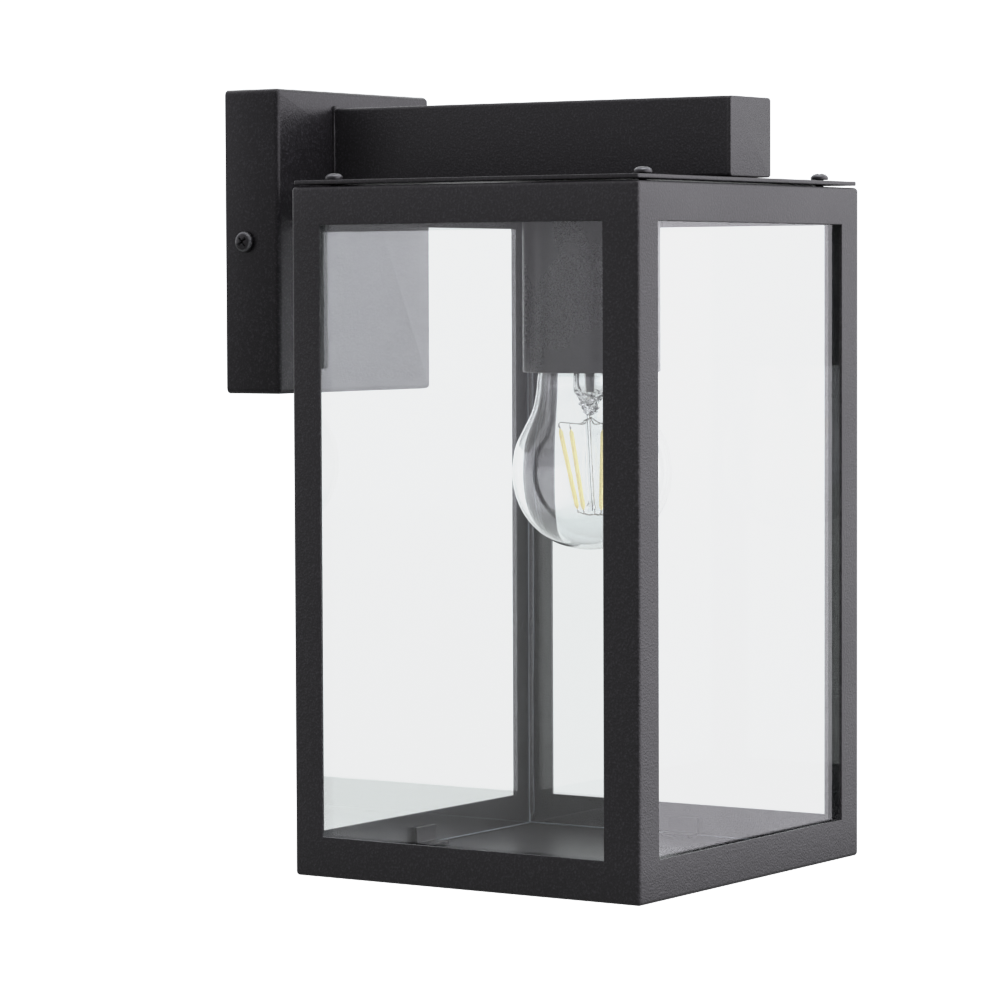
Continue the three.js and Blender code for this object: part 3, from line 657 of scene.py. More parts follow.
def blackened_steel(finish):
    """Black oxide screws whose rims and recess edges turn to bright steel: partly rubbed wear,
    partly painted highlight. The mesh's own attribute of wear and painted highlight says where."""
    material, tree, shader = new_material("Blackened steel")
    rubbed_and_highlit = add_node(tree, "ShaderNodeAttribute", attribute_name="wear_and_highlight")
    lines = place_group(tree, "lines", Density=2600.0, Stretch_Z=1.0)
    marks = place_group(tree, "handling", Cloud_scale=400.0, Speck_scale=2500.0)
    patchy = maths(tree, "MULTIPLY", rubbed_and_highlit.outputs["Fac"],
                   maths(tree, "ADD", 0.45, marks.outputs["Clouds"]), clamp=True)
    # Painted highlight and wear: the attribute blends the black towards bright zinc and full metal.
    tone = blended(tree, patchy, (0.028, 0.027, 0.029), tuple(finish.zinc))
    tree.links.new(tone, shader.inputs["Base Color"])
    tree.links.new(maths(tree, "ADD", 0.35, patchy, clamp=True), shader.inputs["Metallic"])
    rough = maths(tree, "SUBTRACT", 0.3, maths(tree, "MULTIPLY", patchy, 0.1))
    tree.links.new(rough, shader.inputs["Roughness"])
    bumped(tree, shader, lines.outputs["Lines"], 0.3, 0.00004)
    return material


def plated(name, tint, roughness, density, stretch, tarnish):
    """Plated or plain bright metal with fine lines, clouded towards a darker tarnish."""
    material, tree, shader = new_material(name, Metallic=1.0)
    lines = place_group(tree, "lines", Density=density, Stretch_X=stretch[0],
                        Stretch_Y=stretch[1], Stretch_Z=stretch[2])
    marks = place_group(tree, "handling", Cloud_scale=90.0, Speck_scale=1500.0)
    tone = blended(tree, marks.outputs["Clouds"], tint, wash(tint, tarnish))
    tree.links.new(tone, shader.inputs["Base Color"])
    rough = maths(tree, "ADD", roughness, maths(tree, "MULTIPLY", marks.outputs["Clouds"], 0.14))
    tree.links.new(rough, shader.inputs["Roughness"])
    bumped(tree, shader, lines.outputs["Lines"], 0.25, 0.00003)
    return material


def moulded(name, tint, roughness, grain):
    """Moulded resin with a faint mould grain and cloudy gloss."""
    material, tree, shader = new_material(name, Specular_IOR_Level=0.5)
    marks = place_group(tree, "handling", Cloud_scale=70.0, Speck_scale=1100.0)
    skin = place_group(tree, "powder", Grain=grain, Peel=700.0, Peel_share=0.3)
    tone = blended(tree, marks.outputs["Clouds"], wash(tint, 0.88), wash(tint, 1.08))
    tree.links.new(tone, shader.inputs["Base Color"])
    rough = maths(tree, "ADD", roughness, maths(tree, "MULTIPLY", marks.outputs["Clouds"], 0.12))
    tree.links.new(rough, shader.inputs["Roughness"])
    bumped(tree, shader, skin.outputs["Height"], 0.3, 0.00004)
    return material


def glass(name, tint, rough_low, rough_high, lamp_share, wave, wave_scale):
    """Clear glass. Lamps shine through it, so that what it covers is lit as in air. Faint smears
    change its roughness, and a slow ripple bends what is seen in it."""
    material, tree, shader = new_material(name, Transmission_Weight=1.0, IOR=1.5,
                                          Metallic=0.0)
    marks = place_group(tree, "handling", Cloud_scale=12.0, Speck_scale=1200.0)
    tone = blended(tree, marks.outputs["Clouds"], tint, wash(tint, 0.992))
    tree.links.new(tone, shader.inputs["Base Color"])
    rough = spread(tree, marks.outputs["Clouds"], 0.35, 1.0, rough_low, rough_high)
    tree.links.new(rough, shader.inputs["Roughness"])
    place = add_node(tree, "ShaderNodeTexCoord").outputs["Object"]
    bumped(tree, shader, noise(tree, place, wave_scale, 0.0), 0.5, wave)
    path = add_node(tree, "ShaderNodeLightPath")
    clear = add_node(tree, "ShaderNodeBsdfTransparent")
    clear.inputs["Color"].default_value = (lamp_share, lamp_share, lamp_share, 1.0)
    mix = add_node(tree, "ShaderNodeMixShader")
    tree.links.new(path.outputs["Is Shadow Ray"], mix.inputs[0])
    tree.links.new(shader.outputs[0], mix.inputs[1])
    tree.links.new(clear.outputs[0], mix.inputs[2])
    tree.links.new(mix.outputs[0], tree.nodes["Material Output"].inputs["Surface"])
    return material


def ground_glass_edge(finish):
    """The ground edge of a pane: grey-blue, dull and finely scratched along its length."""
    material, tree, shader = new_material("Ground glass edge", Specular_IOR_Level=0.6)
    lines = place_group(tree, "lines", Density=900.0, Stretch_Z=0.04)
    tone = blended(tree, lines.outputs["Lines"], wash(finish.pane_edge, 0.72),
                   tuple(finish.pane_edge))
    tree.links.new(tone, shader.inputs["Base Color"])
    tree.links.new(spread(tree, lines.outputs["Lines"], 0.0, 1.0, 0.32, 0.5),
                   shader.inputs["Roughness"])
    bumped(tree, shader, lines.outputs["Lines"], 0.4, 0.00005)
    return material


def filament_coat_and_painted_glow(finish):
    """Yellow silicone phosphor over the chips on each filament, slightly mottled. A weak
    emission is a painted glow: it brightens the unlit filaments as light falling on them would."""
    material, tree, shader = new_material("Filament phosphor with painted glow", Roughness=0.5,
                                          Emission_Strength=0.35)
    marks = place_group(tree, "handling", Cloud_scale=1500.0, Speck_scale=4000.0)
    tone = blended(tree, marks.outputs["Clouds"], wash(finish.phosphor, 0.9),
                   wash(finish.phosphor, 1.12))
    tree.links.new(tone, shader.inputs["Base Color"])
    # Painted glow: the phosphor colour is also emitted, so the filaments shine without a lamp.
    tree.links.new(tone, shader.inputs["Emission Color"])
    bumped(tree, shader, marks.outputs["Clouds"], 0.3, 0.0001)
    return material


def earth_sleeve():
    """Green and yellow sleeving: two stripes that run round the wire with the mesh's own UVs."""
    material, tree, shader = new_material("Earth sleeve", Roughness=0.42)
    uv = add_node(tree, "ShaderNodeUVMap", uv_map="Surface")
    split = add_node(tree, "ShaderNodeSeparateXYZ")
    tree.links.new(uv.outputs[0], split.inputs[0])
    wrapped = maths(tree, "FRACT", maths(tree, "MULTIPLY", split.outputs[0], 2.0))
    stripe = spread(tree, wrapped, 0.47, 0.53)
    marks = place_group(tree, "handling", Cloud_scale=200.0)
    green = blended(tree, marks.outputs["Clouds"], (0.05, 0.26, 0.05), (0.065, 0.32, 0.06))
    tone = blended(tree, stripe, green, (0.80, 0.62, 0.04))
    tree.links.new(tone, shader.inputs["Base Color"])
    return material


MATERIALS = {}


def material_named(name):
    """A finished material, made the first time that a piece asks for it."""
    finish = bpy.context.scene.lantern_finish
    makers = {
        "paint": lambda: powder_coat(finish, "Black powder coat", 0.0, 0.00026),
        "smooth_paint": lambda: powder_coat(finish, "Smooth black coat", 0.1, 0.00006),
        # A shaded copy of the coat: the wall plate's weaker shine is painted shade, keeping it as
        # dark as the lantern's shade leaves it.
        "plate_paint": lambda: powder_coat(finish, "Wall plate coat", 0.08, 0.0001, 0.28),
        "screw": lambda: blackened_steel(finish),
        "zinc": lambda: plated("Bright zinc", tuple(finish.zinc), 0.22, 900.0,
                               (0.1, 1.0, 1.0), 0.78),
        "nickel": lambda: plated("Nickel plate", tuple(finish.nickel), 0.14, 1200.0,
                                 (0.05, 0.05, 1.0), 0.85),
        "brass": lambda: plated("Brass", tuple(finish.brass), 0.2, 1100.0,
                                (0.05, 0.05, 1.0), 0.7),
        "resin": lambda: moulded("Black resin", (0.014, 0.014, 0.015), 0.3, 1500.0),
        "nylon": lambda: moulded("Natural nylon", (0.74, 0.72, 0.66), 0.42, 1200.0),
        "live": lambda: moulded("Live sleeve", (0.17, 0.07, 0.03), 0.38, 1800.0),
        "neutral": lambda: moulded("Neutral sleeve", (0.03, 0.11, 0.42), 0.38, 1800.0),
        "earth": earth_sleeve,
        "pane": lambda: glass("Clear pane", tuple(finish.pane), 0.0, 0.012, 0.9, 0.00002, 14.0),
        "pane_edge": lambda: ground_glass_edge(finish),
        "bulb": lambda: glass("Blown glass", tuple(finish.blown), 0.0, 0.01, 0.95, 0.0001, 45.0),
        "stem": lambda: glass("Stem glass", tuple(finish.blown), 0.0, 0.02, 0.9, 0.0004, 260.0),
        "sealant": lambda: glass("Clear sealant", (0.90, 0.91, 0.91), 0.12, 0.3, 0.8, 0.0006,
                                 300.0),
        "phosphor": lambda: filament_coat_and_painted_glow(finish),
    }
    if name not in MATERIALS:
        MATERIALS[name] = makers[name]()
    return MATERIALS[name]


# ---------------------------------------------------------------------------
# Operators, one for each piece or group of like pieces
# ---------------------------------------------------------------------------

class LanternOperator:
    """What the lantern's operators share."""

    bl_options = {"REGISTER", "UNDO"}

    @staticmethod
    def sizes():
        """The sizes set in the sidebar panel."""
        return bpy.context.scene.lantern_sizes


class LANTERN_OT_wall_plate(LanternOperator, Operator):
    """Makes the folded wall plate with its wire hole"""

    bl_idname = "lantern.wall_plate"
    bl_label = "Wall Plate"

    def execute(self, context):
        sizes = self.sizes()
        low, high = corners("wall_plate")
        arm_low, arm_high = corners("arm")
        hole, hole_radius = np.array([0.0, 0.0, (arm_low[2] + arm_high[2]) / 2.0]), 8.0 * MM
        rings = folded_box(low, high, SHEET, sizes.plate_bend, sizes.paint_edge)
        rims = [hole_ring(rings[-1], hole, hole_radius), hole_ring(rings[0], hole, hole_radius)]
        surface = ring_surface(np.concatenate([rings, rims]), "join")
        make_piece("wall_plate_shell", outward(surface), [material_named("plate_paint")], BRACKET,
                   ("wall_plate",), sharp=40.0)
        return {"FINISHED"}


class LANTERN_OT_wall_fixings(LanternOperator, Operator):
    """Finishes the wall bracket and the terminal block with its screws"""

    bl_idname = "lantern.wall_fixings"
    bl_label = "Wall Fixings"

    def execute(self, context):
        finished_copy("wall_bracket", "wall_bracket_strap", [material_named("zinc")], BRACKET,
                      0.25 * MM)
        finished_copy("terminal_block", "terminal_block_moulding", [material_named("nylon")],
                      BRACKET, 0.3 * MM)
        for way in ("earth", "live", "neutral"):
            node = f"terminal_screw_{way}"
            finished_copy(node, f"terminal_grub_{way}", [material_named("brass")], BRACKET,
                          0.12 * MM)
        return {"FINISHED"}


class LANTERN_OT_arm(LanternOperator, Operator):
    """Makes the square arm with its welded end and the weld that joins it to the wall plate"""

    bl_idname = "lantern.arm"
    bl_label = "Arm"

    def execute(self, context):
        sizes = self.sizes()
        low, high = corners("arm", "arm_end")
        wall = 1.5 * MM
        seam = low[1] + 1.6 * MM
        groove = 0.12 * MM
        centre, half = (low + high) / 2.0, (high - low) / 2.0
        end_edge = 0.5 * MM
        profile = np.concatenate([
            [[wall, low[1] + wall], [wall, high[1]], [0.0, high[1]]],
            [[0.0, seam + 0.5 * MM], [groove, seam + 0.15 * MM], [groove, seam],
             [0.0, seam - 0.35 * MM]],
            arc(end_edge, low[1] + end_edge, end_edge, 180, 270, 3),
        ])
        rings = np.array([in_plane(rounded_rectangle(half[0] - inset, half[2] - inset,
                                                     sizes.arm_bend - inset), depth, 1, centre)
                          for inset, depth in profile])
        make_piece("arm_tube", outward(ring_surface(rings, "fill")), [material_named("paint")],
                   BRACKET, ("arm", "arm_end"), sharp=40.0)
        self.weld(low, high)
        return {"FINISHED"}

    @staticmethod
    def weld(low, high):
        """The fillet weld is a bead carried round the arm's outline where it meets the plate. Its
        section is a circle whose radius swells and shrinks as the weld was fed, with a nub where
        the run starts and another where it stops, each a bell curve of the distance from it."""
        steps = 240
        outline = rounded_rectangle((high[0] - low[0]) / 2.0, (high[2] - low[2]) / 2.0, 1.3 * MM,
                                    10)
        closed = np.concatenate([outline, outline[:1]])
        along = np.concatenate([[0.0], np.cumsum(np.linalg.norm(np.diff(closed, axis=0),
                                                                axis=1))])
        place = np.linspace(0.0, along[-1], steps, endpoint=False)
        ring_a = np.interp(place, along, closed[:, 0])
        ring_b = np.interp(place, along, closed[:, 1])
        feed = 0.5 * MM + 0.14 * MM * np.sin(place / (2.3 * MM)) * np.sin(place / (7.1 * MM))
        turn = np.arange(10) * FULL_TURN / 10
        middle = np.array([(low[0] + high[0]) / 2.0, (low[2] + high[2]) / 2.0])
        path = np.stack([ring_a, ring_b], axis=1)
        for start in (low[0] - middle[0] + 0.6 * MM, high[0] - middle[0] - 3.0 * MM):
            apart = np.linalg.norm(path - [start, high[2] - middle[1]], axis=1)
            feed = feed + 0.75 * MM * np.exp(-(apart / (1.1 * MM)) ** 2)
        tangent = np.roll(path, -1, axis=0) - np.roll(path, 1, axis=0)
        away = np.stack([tangent[:, 1], -tangent[:, 0]], axis=1)
        away /= np.linalg.norm(away, axis=1, keepdims=True)
        rings = np.empty((steps, 10, 3))
        swell = feed[:, None] * np.cos(turn)
        rings[..., 0] = middle[0] + path[:, :1] + away[:, :1] * swell
        rings[..., 2] = middle[1] + path[:, 1:] + away[:, 1:] * swell
        rings[..., 1] = high[1] - 0.1 * MM + feed[:, None] * np.sin(turn)
        make_piece("arm_weld", outward(ring_surface(rings, "join")), [material_named("paint")],
                   BRACKET, sharp=60.0)


class LANTERN_OT_top_sheet(LanternOperator, Operator):
    """Makes the top sheet that the cage hangs from"""

    bl_idname = "lantern.top_sheet"
    bl_label = "Top Sheet"

    def execute(self, context):
        low, high = corners("top_sheet")
        surface = slab(low, high, 2, 1.2 * MM, self.sizes().paint_edge)
        make_piece("top_sheet_plate", outward(surface), [material_named("paint")], BRACKET,
                   ("top_sheet",))
        return {"FINISHED"}


class LANTERN_OT_screws(LanternOperator, Operator):
    """Makes the pan-head screws of the top sheet and the wall plate, and the earth screw"""

    bl_idname = "lantern.screws"
    bl_label = "Screws"

    def execute(self, context):
        for end in ("front", "rear"):
            for side in ("left", "right"):
                self.screw(f"top_screw_{end}_{side}", "screw", "black_screw", 2, 1,
                           18.0 if side == "left" else 61.0)
        self.screw("plate_screw_left", "screw", "black_screw", 0, -1, 38.0)
        self.screw("plate_screw_right", "screw", "black_screw", 0, 1, 12.0)
        self.screw("earth_screw", "brass", "brass", 1, -1, 30.0)
        return {"FINISHED"}

    def screw(self, node, finish, slot, axis, way, turned_to):
        """One pan-head screw in the place of a frame node, its head towards way along the axis.

        The outline runs from the tip, up the shank, out under the head and over its dome to the
        middle. On the shank the radius gains a triangle wave of height and angle, which is a
        thread of one start. On the dome the height loses a cross of two slots with sloping
        walls.
        """
        low, high = corners(node)
        middle = (low + high) / 2.0
        others = [k for k in range(3) if k != axis]
        radius = (high - low)[others].max() / 2.0
        span = (high - low)[axis]
        top = high[axis] if way > 0 else low[axis]
        head = radius * 0.72
        shank = radius * 0.48
        shank_length = span - head
        pitch = self.sizes().screw_pitch
        steps = 160
        turn = np.arange(steps) * FULL_TURN / steps
        point, row = 0.6 * MM, pitch / 12.0
        tip = np.stack([np.linspace(0.1, 1.0, 5) * shank,
                        np.linspace(-shank_length, -shank_length + point, 5)], axis=1)
        rise = np.arange(-shank_length + point + row, -0.2 * MM, row)
        body = np.stack([np.full(len(rise), shank), rise], axis=1)
        under = np.array([[shank, 0.0], [radius * 0.93, 0.0]])
        rounding = 0.12 * radius
        rim = arc(radius - rounding, rounding, rounding, -60, 20, 4)
        slope = np.linspace(0.06, 1.0, 46)
        dome_r = radius * np.cos(slope * math.pi / 2.0) ** 0.85
        rim_height = 0.22 * radius
        dome_z = rim_height + (head - rim_height) * np.sin(slope * math.pi / 2.0) ** 1.1
        dome = np.stack([np.maximum(dome_r, 0.02 * radius), dome_z], axis=1)
        profile = np.concatenate([tip, body, under, rim, dome])
        r = np.repeat(profile[:, :1], steps, axis=1)
        z = np.repeat(profile[:, 1:], steps, axis=1)
        threaded = slice(len(tip), len(tip) + len(body))
        phase = z[threaded] / pitch - turn / FULL_TURN
        r[threaded] -= 0.32 * pitch * np.abs(2.0 * (phase - np.floor(phase)) - 1.0)
        domed = slice(len(profile) - len(dome), len(profile))
        angle = turn + math.radians(turned_to)
        across = np.abs(r[domed] * np.cos(angle))
        along = np.abs(r[domed] * np.sin(angle))
        half, reach, wall = 0.13 * radius, 0.56 * radius, 0.07 * radius
        slot_a = np.clip((half - across) / wall, 0, 1) * np.clip((reach - along) / wall, 0, 1)
        slot_b = np.clip((half - along) / wall, 0, 1) * np.clip((reach - across) / wall, 0, 1)
        depth = np.maximum(slot_a, slot_b)
        z[domed] -= depth * head * 0.62
        # Values partly of rubbed wear and partly of painted highlight: a bright ring on the dome's
        # shoulder and bright slot rims stand in for light catching the head.
        wear_and_highlight = np.zeros_like(z)
        bright = np.clip(1.0 - np.abs(r[domed] / radius - 0.86) / 0.14, 0, 1)
        rim_of_slot = np.clip(1.0 - np.abs(depth - 0.25) / 0.3, 0, 1)
        wear_and_highlight[domed] = np.maximum(bright * 0.3, rim_of_slot * (depth > 0) * 0.45)
        rings = np.empty((len(profile), steps, 3))
        rings[..., others[0]] = middle[others[0]] + r * np.cos(turn)
        rings[..., others[1]] = middle[others[1]] + r * np.sin(turn)
        rings[..., axis] = top + way * (z - head)
        vertices, faces = outward(ring_surface(rings, "poles"))
        values = np.concatenate([wear_and_highlight.reshape(-1), [0.0, 0.0]])
        make_piece(f"{node}_turned", (vertices, faces), [material_named(finish)], BRACKET,
                   (node,), sharp=32.0, attribute=("wear_and_highlight", values))


class LANTERN_OT_cage(LanternOperator, Operator):
    """Makes the welded cage: posts, top rails and bottom rails as one coated frame"""

    bl_idname = "lantern.cage"
    bl_label = "Cage Frame"

    POSTS = ("post_front_left", "post_front_right", "post_rear_left", "post_rear_right")
    SIDES = ("front", "rear", "left", "right")

    def execute(self, context):
        sizes = self.sizes()
        low, high = corners(*self.POSTS)
        bend = sizes.cage_bend
        front, rear = corners("post_front_left"), corners("post_rear_left")
        window_x = front[1][0] - low[0]
        window_front = front[1][1] - low[1]
        window_rear = high[1] - rear[0][1]
        top_rail, bottom_rail = corners("top_rail_front"), corners("bottom_rail_front")
        window_top = top_rail[0][2]
        window_bottom = bottom_rail[1][2]
        top_flange = top_rail[1][1] - top_rail[0][1]
        bottom_flange = bottom_rail[1][1] - bottom_rail[0][1]
        outer_v = self.upright_profile(low[2], high[2], bend, top_flange, bottom_flange, 0.0,
                                       window_top, window_bottom)
        inner_v = self.upright_profile(low[2], high[2], bend, top_flange, bottom_flange, SHEET,
                                       window_top, window_bottom)
        centre, half = (low + high) / 2.0, (high - low) / 2.0
        stops_x = (half[0] - window_x) * np.linspace(-1, 1, 9)
        stops_y = np.linspace(window_front - half[1], half[1] - window_rear, 9)
        outer, in_x, in_y = self.skin(outer_v, half, bend, centre, stops_x, stops_y)
        inner = self.skin(inner_v, half, bend, centre, stops_x, stops_y)[0]
        z, near = outer_v[:, 1], 1e-9
        on_face = outer_v[:, 0] < near
        open_v = (on_face[:-1] & on_face[1:] & (z[:-1] <= window_top + near)
                  & (z[1:] >= window_bottom - near))
        kept = ~((in_x | in_y)[:, None] & open_v[None, :])
        nodes = [*self.POSTS, *(f"{level}_rail_{side}" for level in ("top", "bottom")
                                for side in self.SIDES)]
        make_piece("cage_frame", outward(windowed_sheet(outer, inner, kept)),
                   [material_named("paint")], CAGE, nodes, sharp=50.0,
                   edge=0.22 * MM)
        return {"FINISHED"}

    @staticmethod
    def upright_profile(bottom, top, bend, top_flange, bottom_flange, offset, window_top,
                        window_bottom):
        """[inset, height] rows of the sheet's upright section, offset inward from its outer
        skin: in along the top flange, round a quarter-circle bend, down the face past the
        window's ends, round the lower bend and in along the bottom flange."""
        radius = max(bend - offset, 0.15 * MM)
        corner = offset + radius
        upper = arc(corner, top - corner, radius, 90, 180, 4)
        lower = arc(corner, bottom + corner, radius, 180, 270, 4)
        heights = np.linspace(window_top, window_bottom, 13)
        face = np.stack([np.full(13, offset), heights], axis=1)
        return np.concatenate([[[top_flange, top - offset]], upper, face, lower,
                               [[bottom_flange, bottom + offset]]])

    @staticmethod
    def skin(profile, half, bend, centre, stops_x, stops_y):
        """A [u, v, xyz] grid: for each profile row, the cage's plan outline drawn in by the
        row's inset, as four rounded corners joined by straights with the same stops on each.
        Also says which u cells lie within the windows of the cross faces and side faces."""
        turn = np.linspace(0.0, math.pi / 2.0, 6)
        inset = profile[:, 0]
        radius = np.maximum(bend - inset, 0.05 * MM)
        columns, cross_cell, side_cell = [], [], []
        quarters = ((1, 1), (-1, 1), (-1, -1), (1, -1))
        for quarter, (sign_x, sign_y) in enumerate(quarters):
            for step in turn:
                angle = step + quarter * math.pi / 2.0
                x = sign_x * (half[0] - inset - radius) + radius * math.cos(angle)
                y = sign_y * (half[1] - inset - radius) + radius * math.sin(angle)
                columns.append(np.stack([x, y], axis=1))
                cross_cell.append(False)
                side_cell.append(False)
            cross = quarter % 2 == 0
            stops = stops_x if cross else stops_y
            stops = stops[::-1] if quarter in (0, 1) else stops
            for index, stop in enumerate(stops):
                along = np.full(len(profile), stop)
                across = half[1 if cross else 0] - inset
                sign = (1, -1, -1, 1)[quarter]
                pair = (along, sign * across) if cross else (sign * across, along)
                columns.append(np.stack(pair, axis=1))
                inside = index < len(stops) - 1
                cross_cell.append(cross and inside)
                side_cell.append((not cross) and inside)
        plan = np.array(columns)
        grid = np.empty((*plan.shape[:2], 3))
        grid[..., :2] = plan + centre[:2]
        grid[..., 2] = profile[:, 1]
        return grid, np.array(cross_cell), np.array(side_cell)


class LANTERN_OT_floor(LanternOperator, Operator):
    """Makes the cage's floor sheet and the bent tabs that hold the feet of the panes"""

    bl_idname = "lantern.floor"
    bl_label = "Floor and Tabs"

    def execute(self, context):
        low, high = corners("floor_sheet")
        surface = slab(low, high, 2, 1.5 * MM, 0.25 * MM)
        make_piece("floor_plate", outward(surface), [material_named("smooth_paint")], CAGE,
                   ("floor_sheet",))
        for side, quarter in (("rear", 0), ("left", 1), ("front", 2), ("right", 3)):
            self.tab(side, quarter * math.pi / 2.0)
        return {"FINISHED"}

    @staticmethod
    def tab(side, turn):
        """One tab: an L section of sheet with a quarter-circle bend, carried along its width. It
        is drawn with its upright against +Y and turned to its pane."""
        node = f"pane_clip_{side}"
        low, high = corners(node)
        middle = (low + high) / 2.0
        wall, bend = SHEET, 1.8 * MM
        tall = high[2] - low[2]
        across = (high - low)[:2]
        foot, width = across.min(), across.max()
        outer = arc(-bend, bend, bend, 0, -90, 5)
        inner = arc(-bend, bend, bend - wall, -90, 0, 5)
        outline = np.concatenate([[[0.0, tall]], outer, [[-foot, 0.0], [-foot, wall]], inner,
                                  [[-wall, tall]]])
        back = {"rear": (middle[0], high[1]), "front": (middle[0], low[1]),
                "left": (low[0], middle[1]), "right": (high[0], middle[1])}[side]
        surface = extruded(outline, -width / 2.0, width / 2.0, (*back, low[2]), turn)
        make_piece(f"pane_tab_{side}", outward(surface), [material_named("paint")], CAGE,
                   (node,), sharp=40.0, edge=0.2 * MM)


class LANTERN_OT_panes(LanternOperator, Operator):
    """Makes the glass panes with ground edges and the clear sealant in the corners"""

    bl_idname = "lantern.panes"
    bl_label = "Glass Panes"

    def execute(self, context):
        sizes = self.sizes()
        for side, axis in (("left", 0), ("right", 0), ("front", 1), ("rear", 1)):
            node = f"pane_{side}"
            low, high = corners(node)
            vertices, faces = outward(slab(low, high, axis, 0.8 * MM, sizes.glass_arris, 1))
            pane = make_piece(f"{node}_glass", (vertices, faces),
                              [material_named("pane"), material_named("pane_edge")], CAGE,
                              (node,), sharp=25.0)
            quads = len(faces[0])
            marks = np.zeros(len(pane.data.polygons), dtype=np.int32)
            marks[:quads] = 1
            pane.data.polygons.foreach_set("material_index", marks)
        self.beads(sizes)
        return {"FINISHED"}

    @staticmethod
    def beads(sizes):
        """Sealant runs up each inner corner of the glazing. It is a tube whose radius wanders as
        a hand-drawn bead does, on a path that wanders a little too."""
        left, right = corners("pane_left"), corners("pane_right")
        front, rear = corners("pane_front"), corners("pane_rear")
        rise = np.linspace(left[0][2] + 3.0 * MM, left[1][2] - 3.0 * MM, 120)
        count = 0
        for x, sign_x in ((left[1][0], 1), (right[0][0], -1)):
            for y, sign_y in ((front[1][1], 1), (rear[0][1], -1)):
                count += 1
                wander = np.sin(rise / (17.0 * MM) + count) + 0.6 * np.sin(rise / (5.3 * MM))
                radius = sizes.bead * (0.62 + 0.08 * wander)
                radius[[0, -1]] *= 0.3
                shift = 0.35 * MM * np.sin(rise / (29.0 * MM) + 2.0 * count)
                path = np.stack([x + sign_x * (0.5 * MM + shift),
                                 np.full(len(rise), y + sign_y * 0.5 * MM), rise], axis=1)
                surface = ring_surface(tube_rings(path, radius, 14, (1.0, 0.0, 0.0)), "poles")
                make_piece(f"corner_bead_{count}", outward(surface), [material_named("sealant")],
                           CAGE, sharp=60.0)


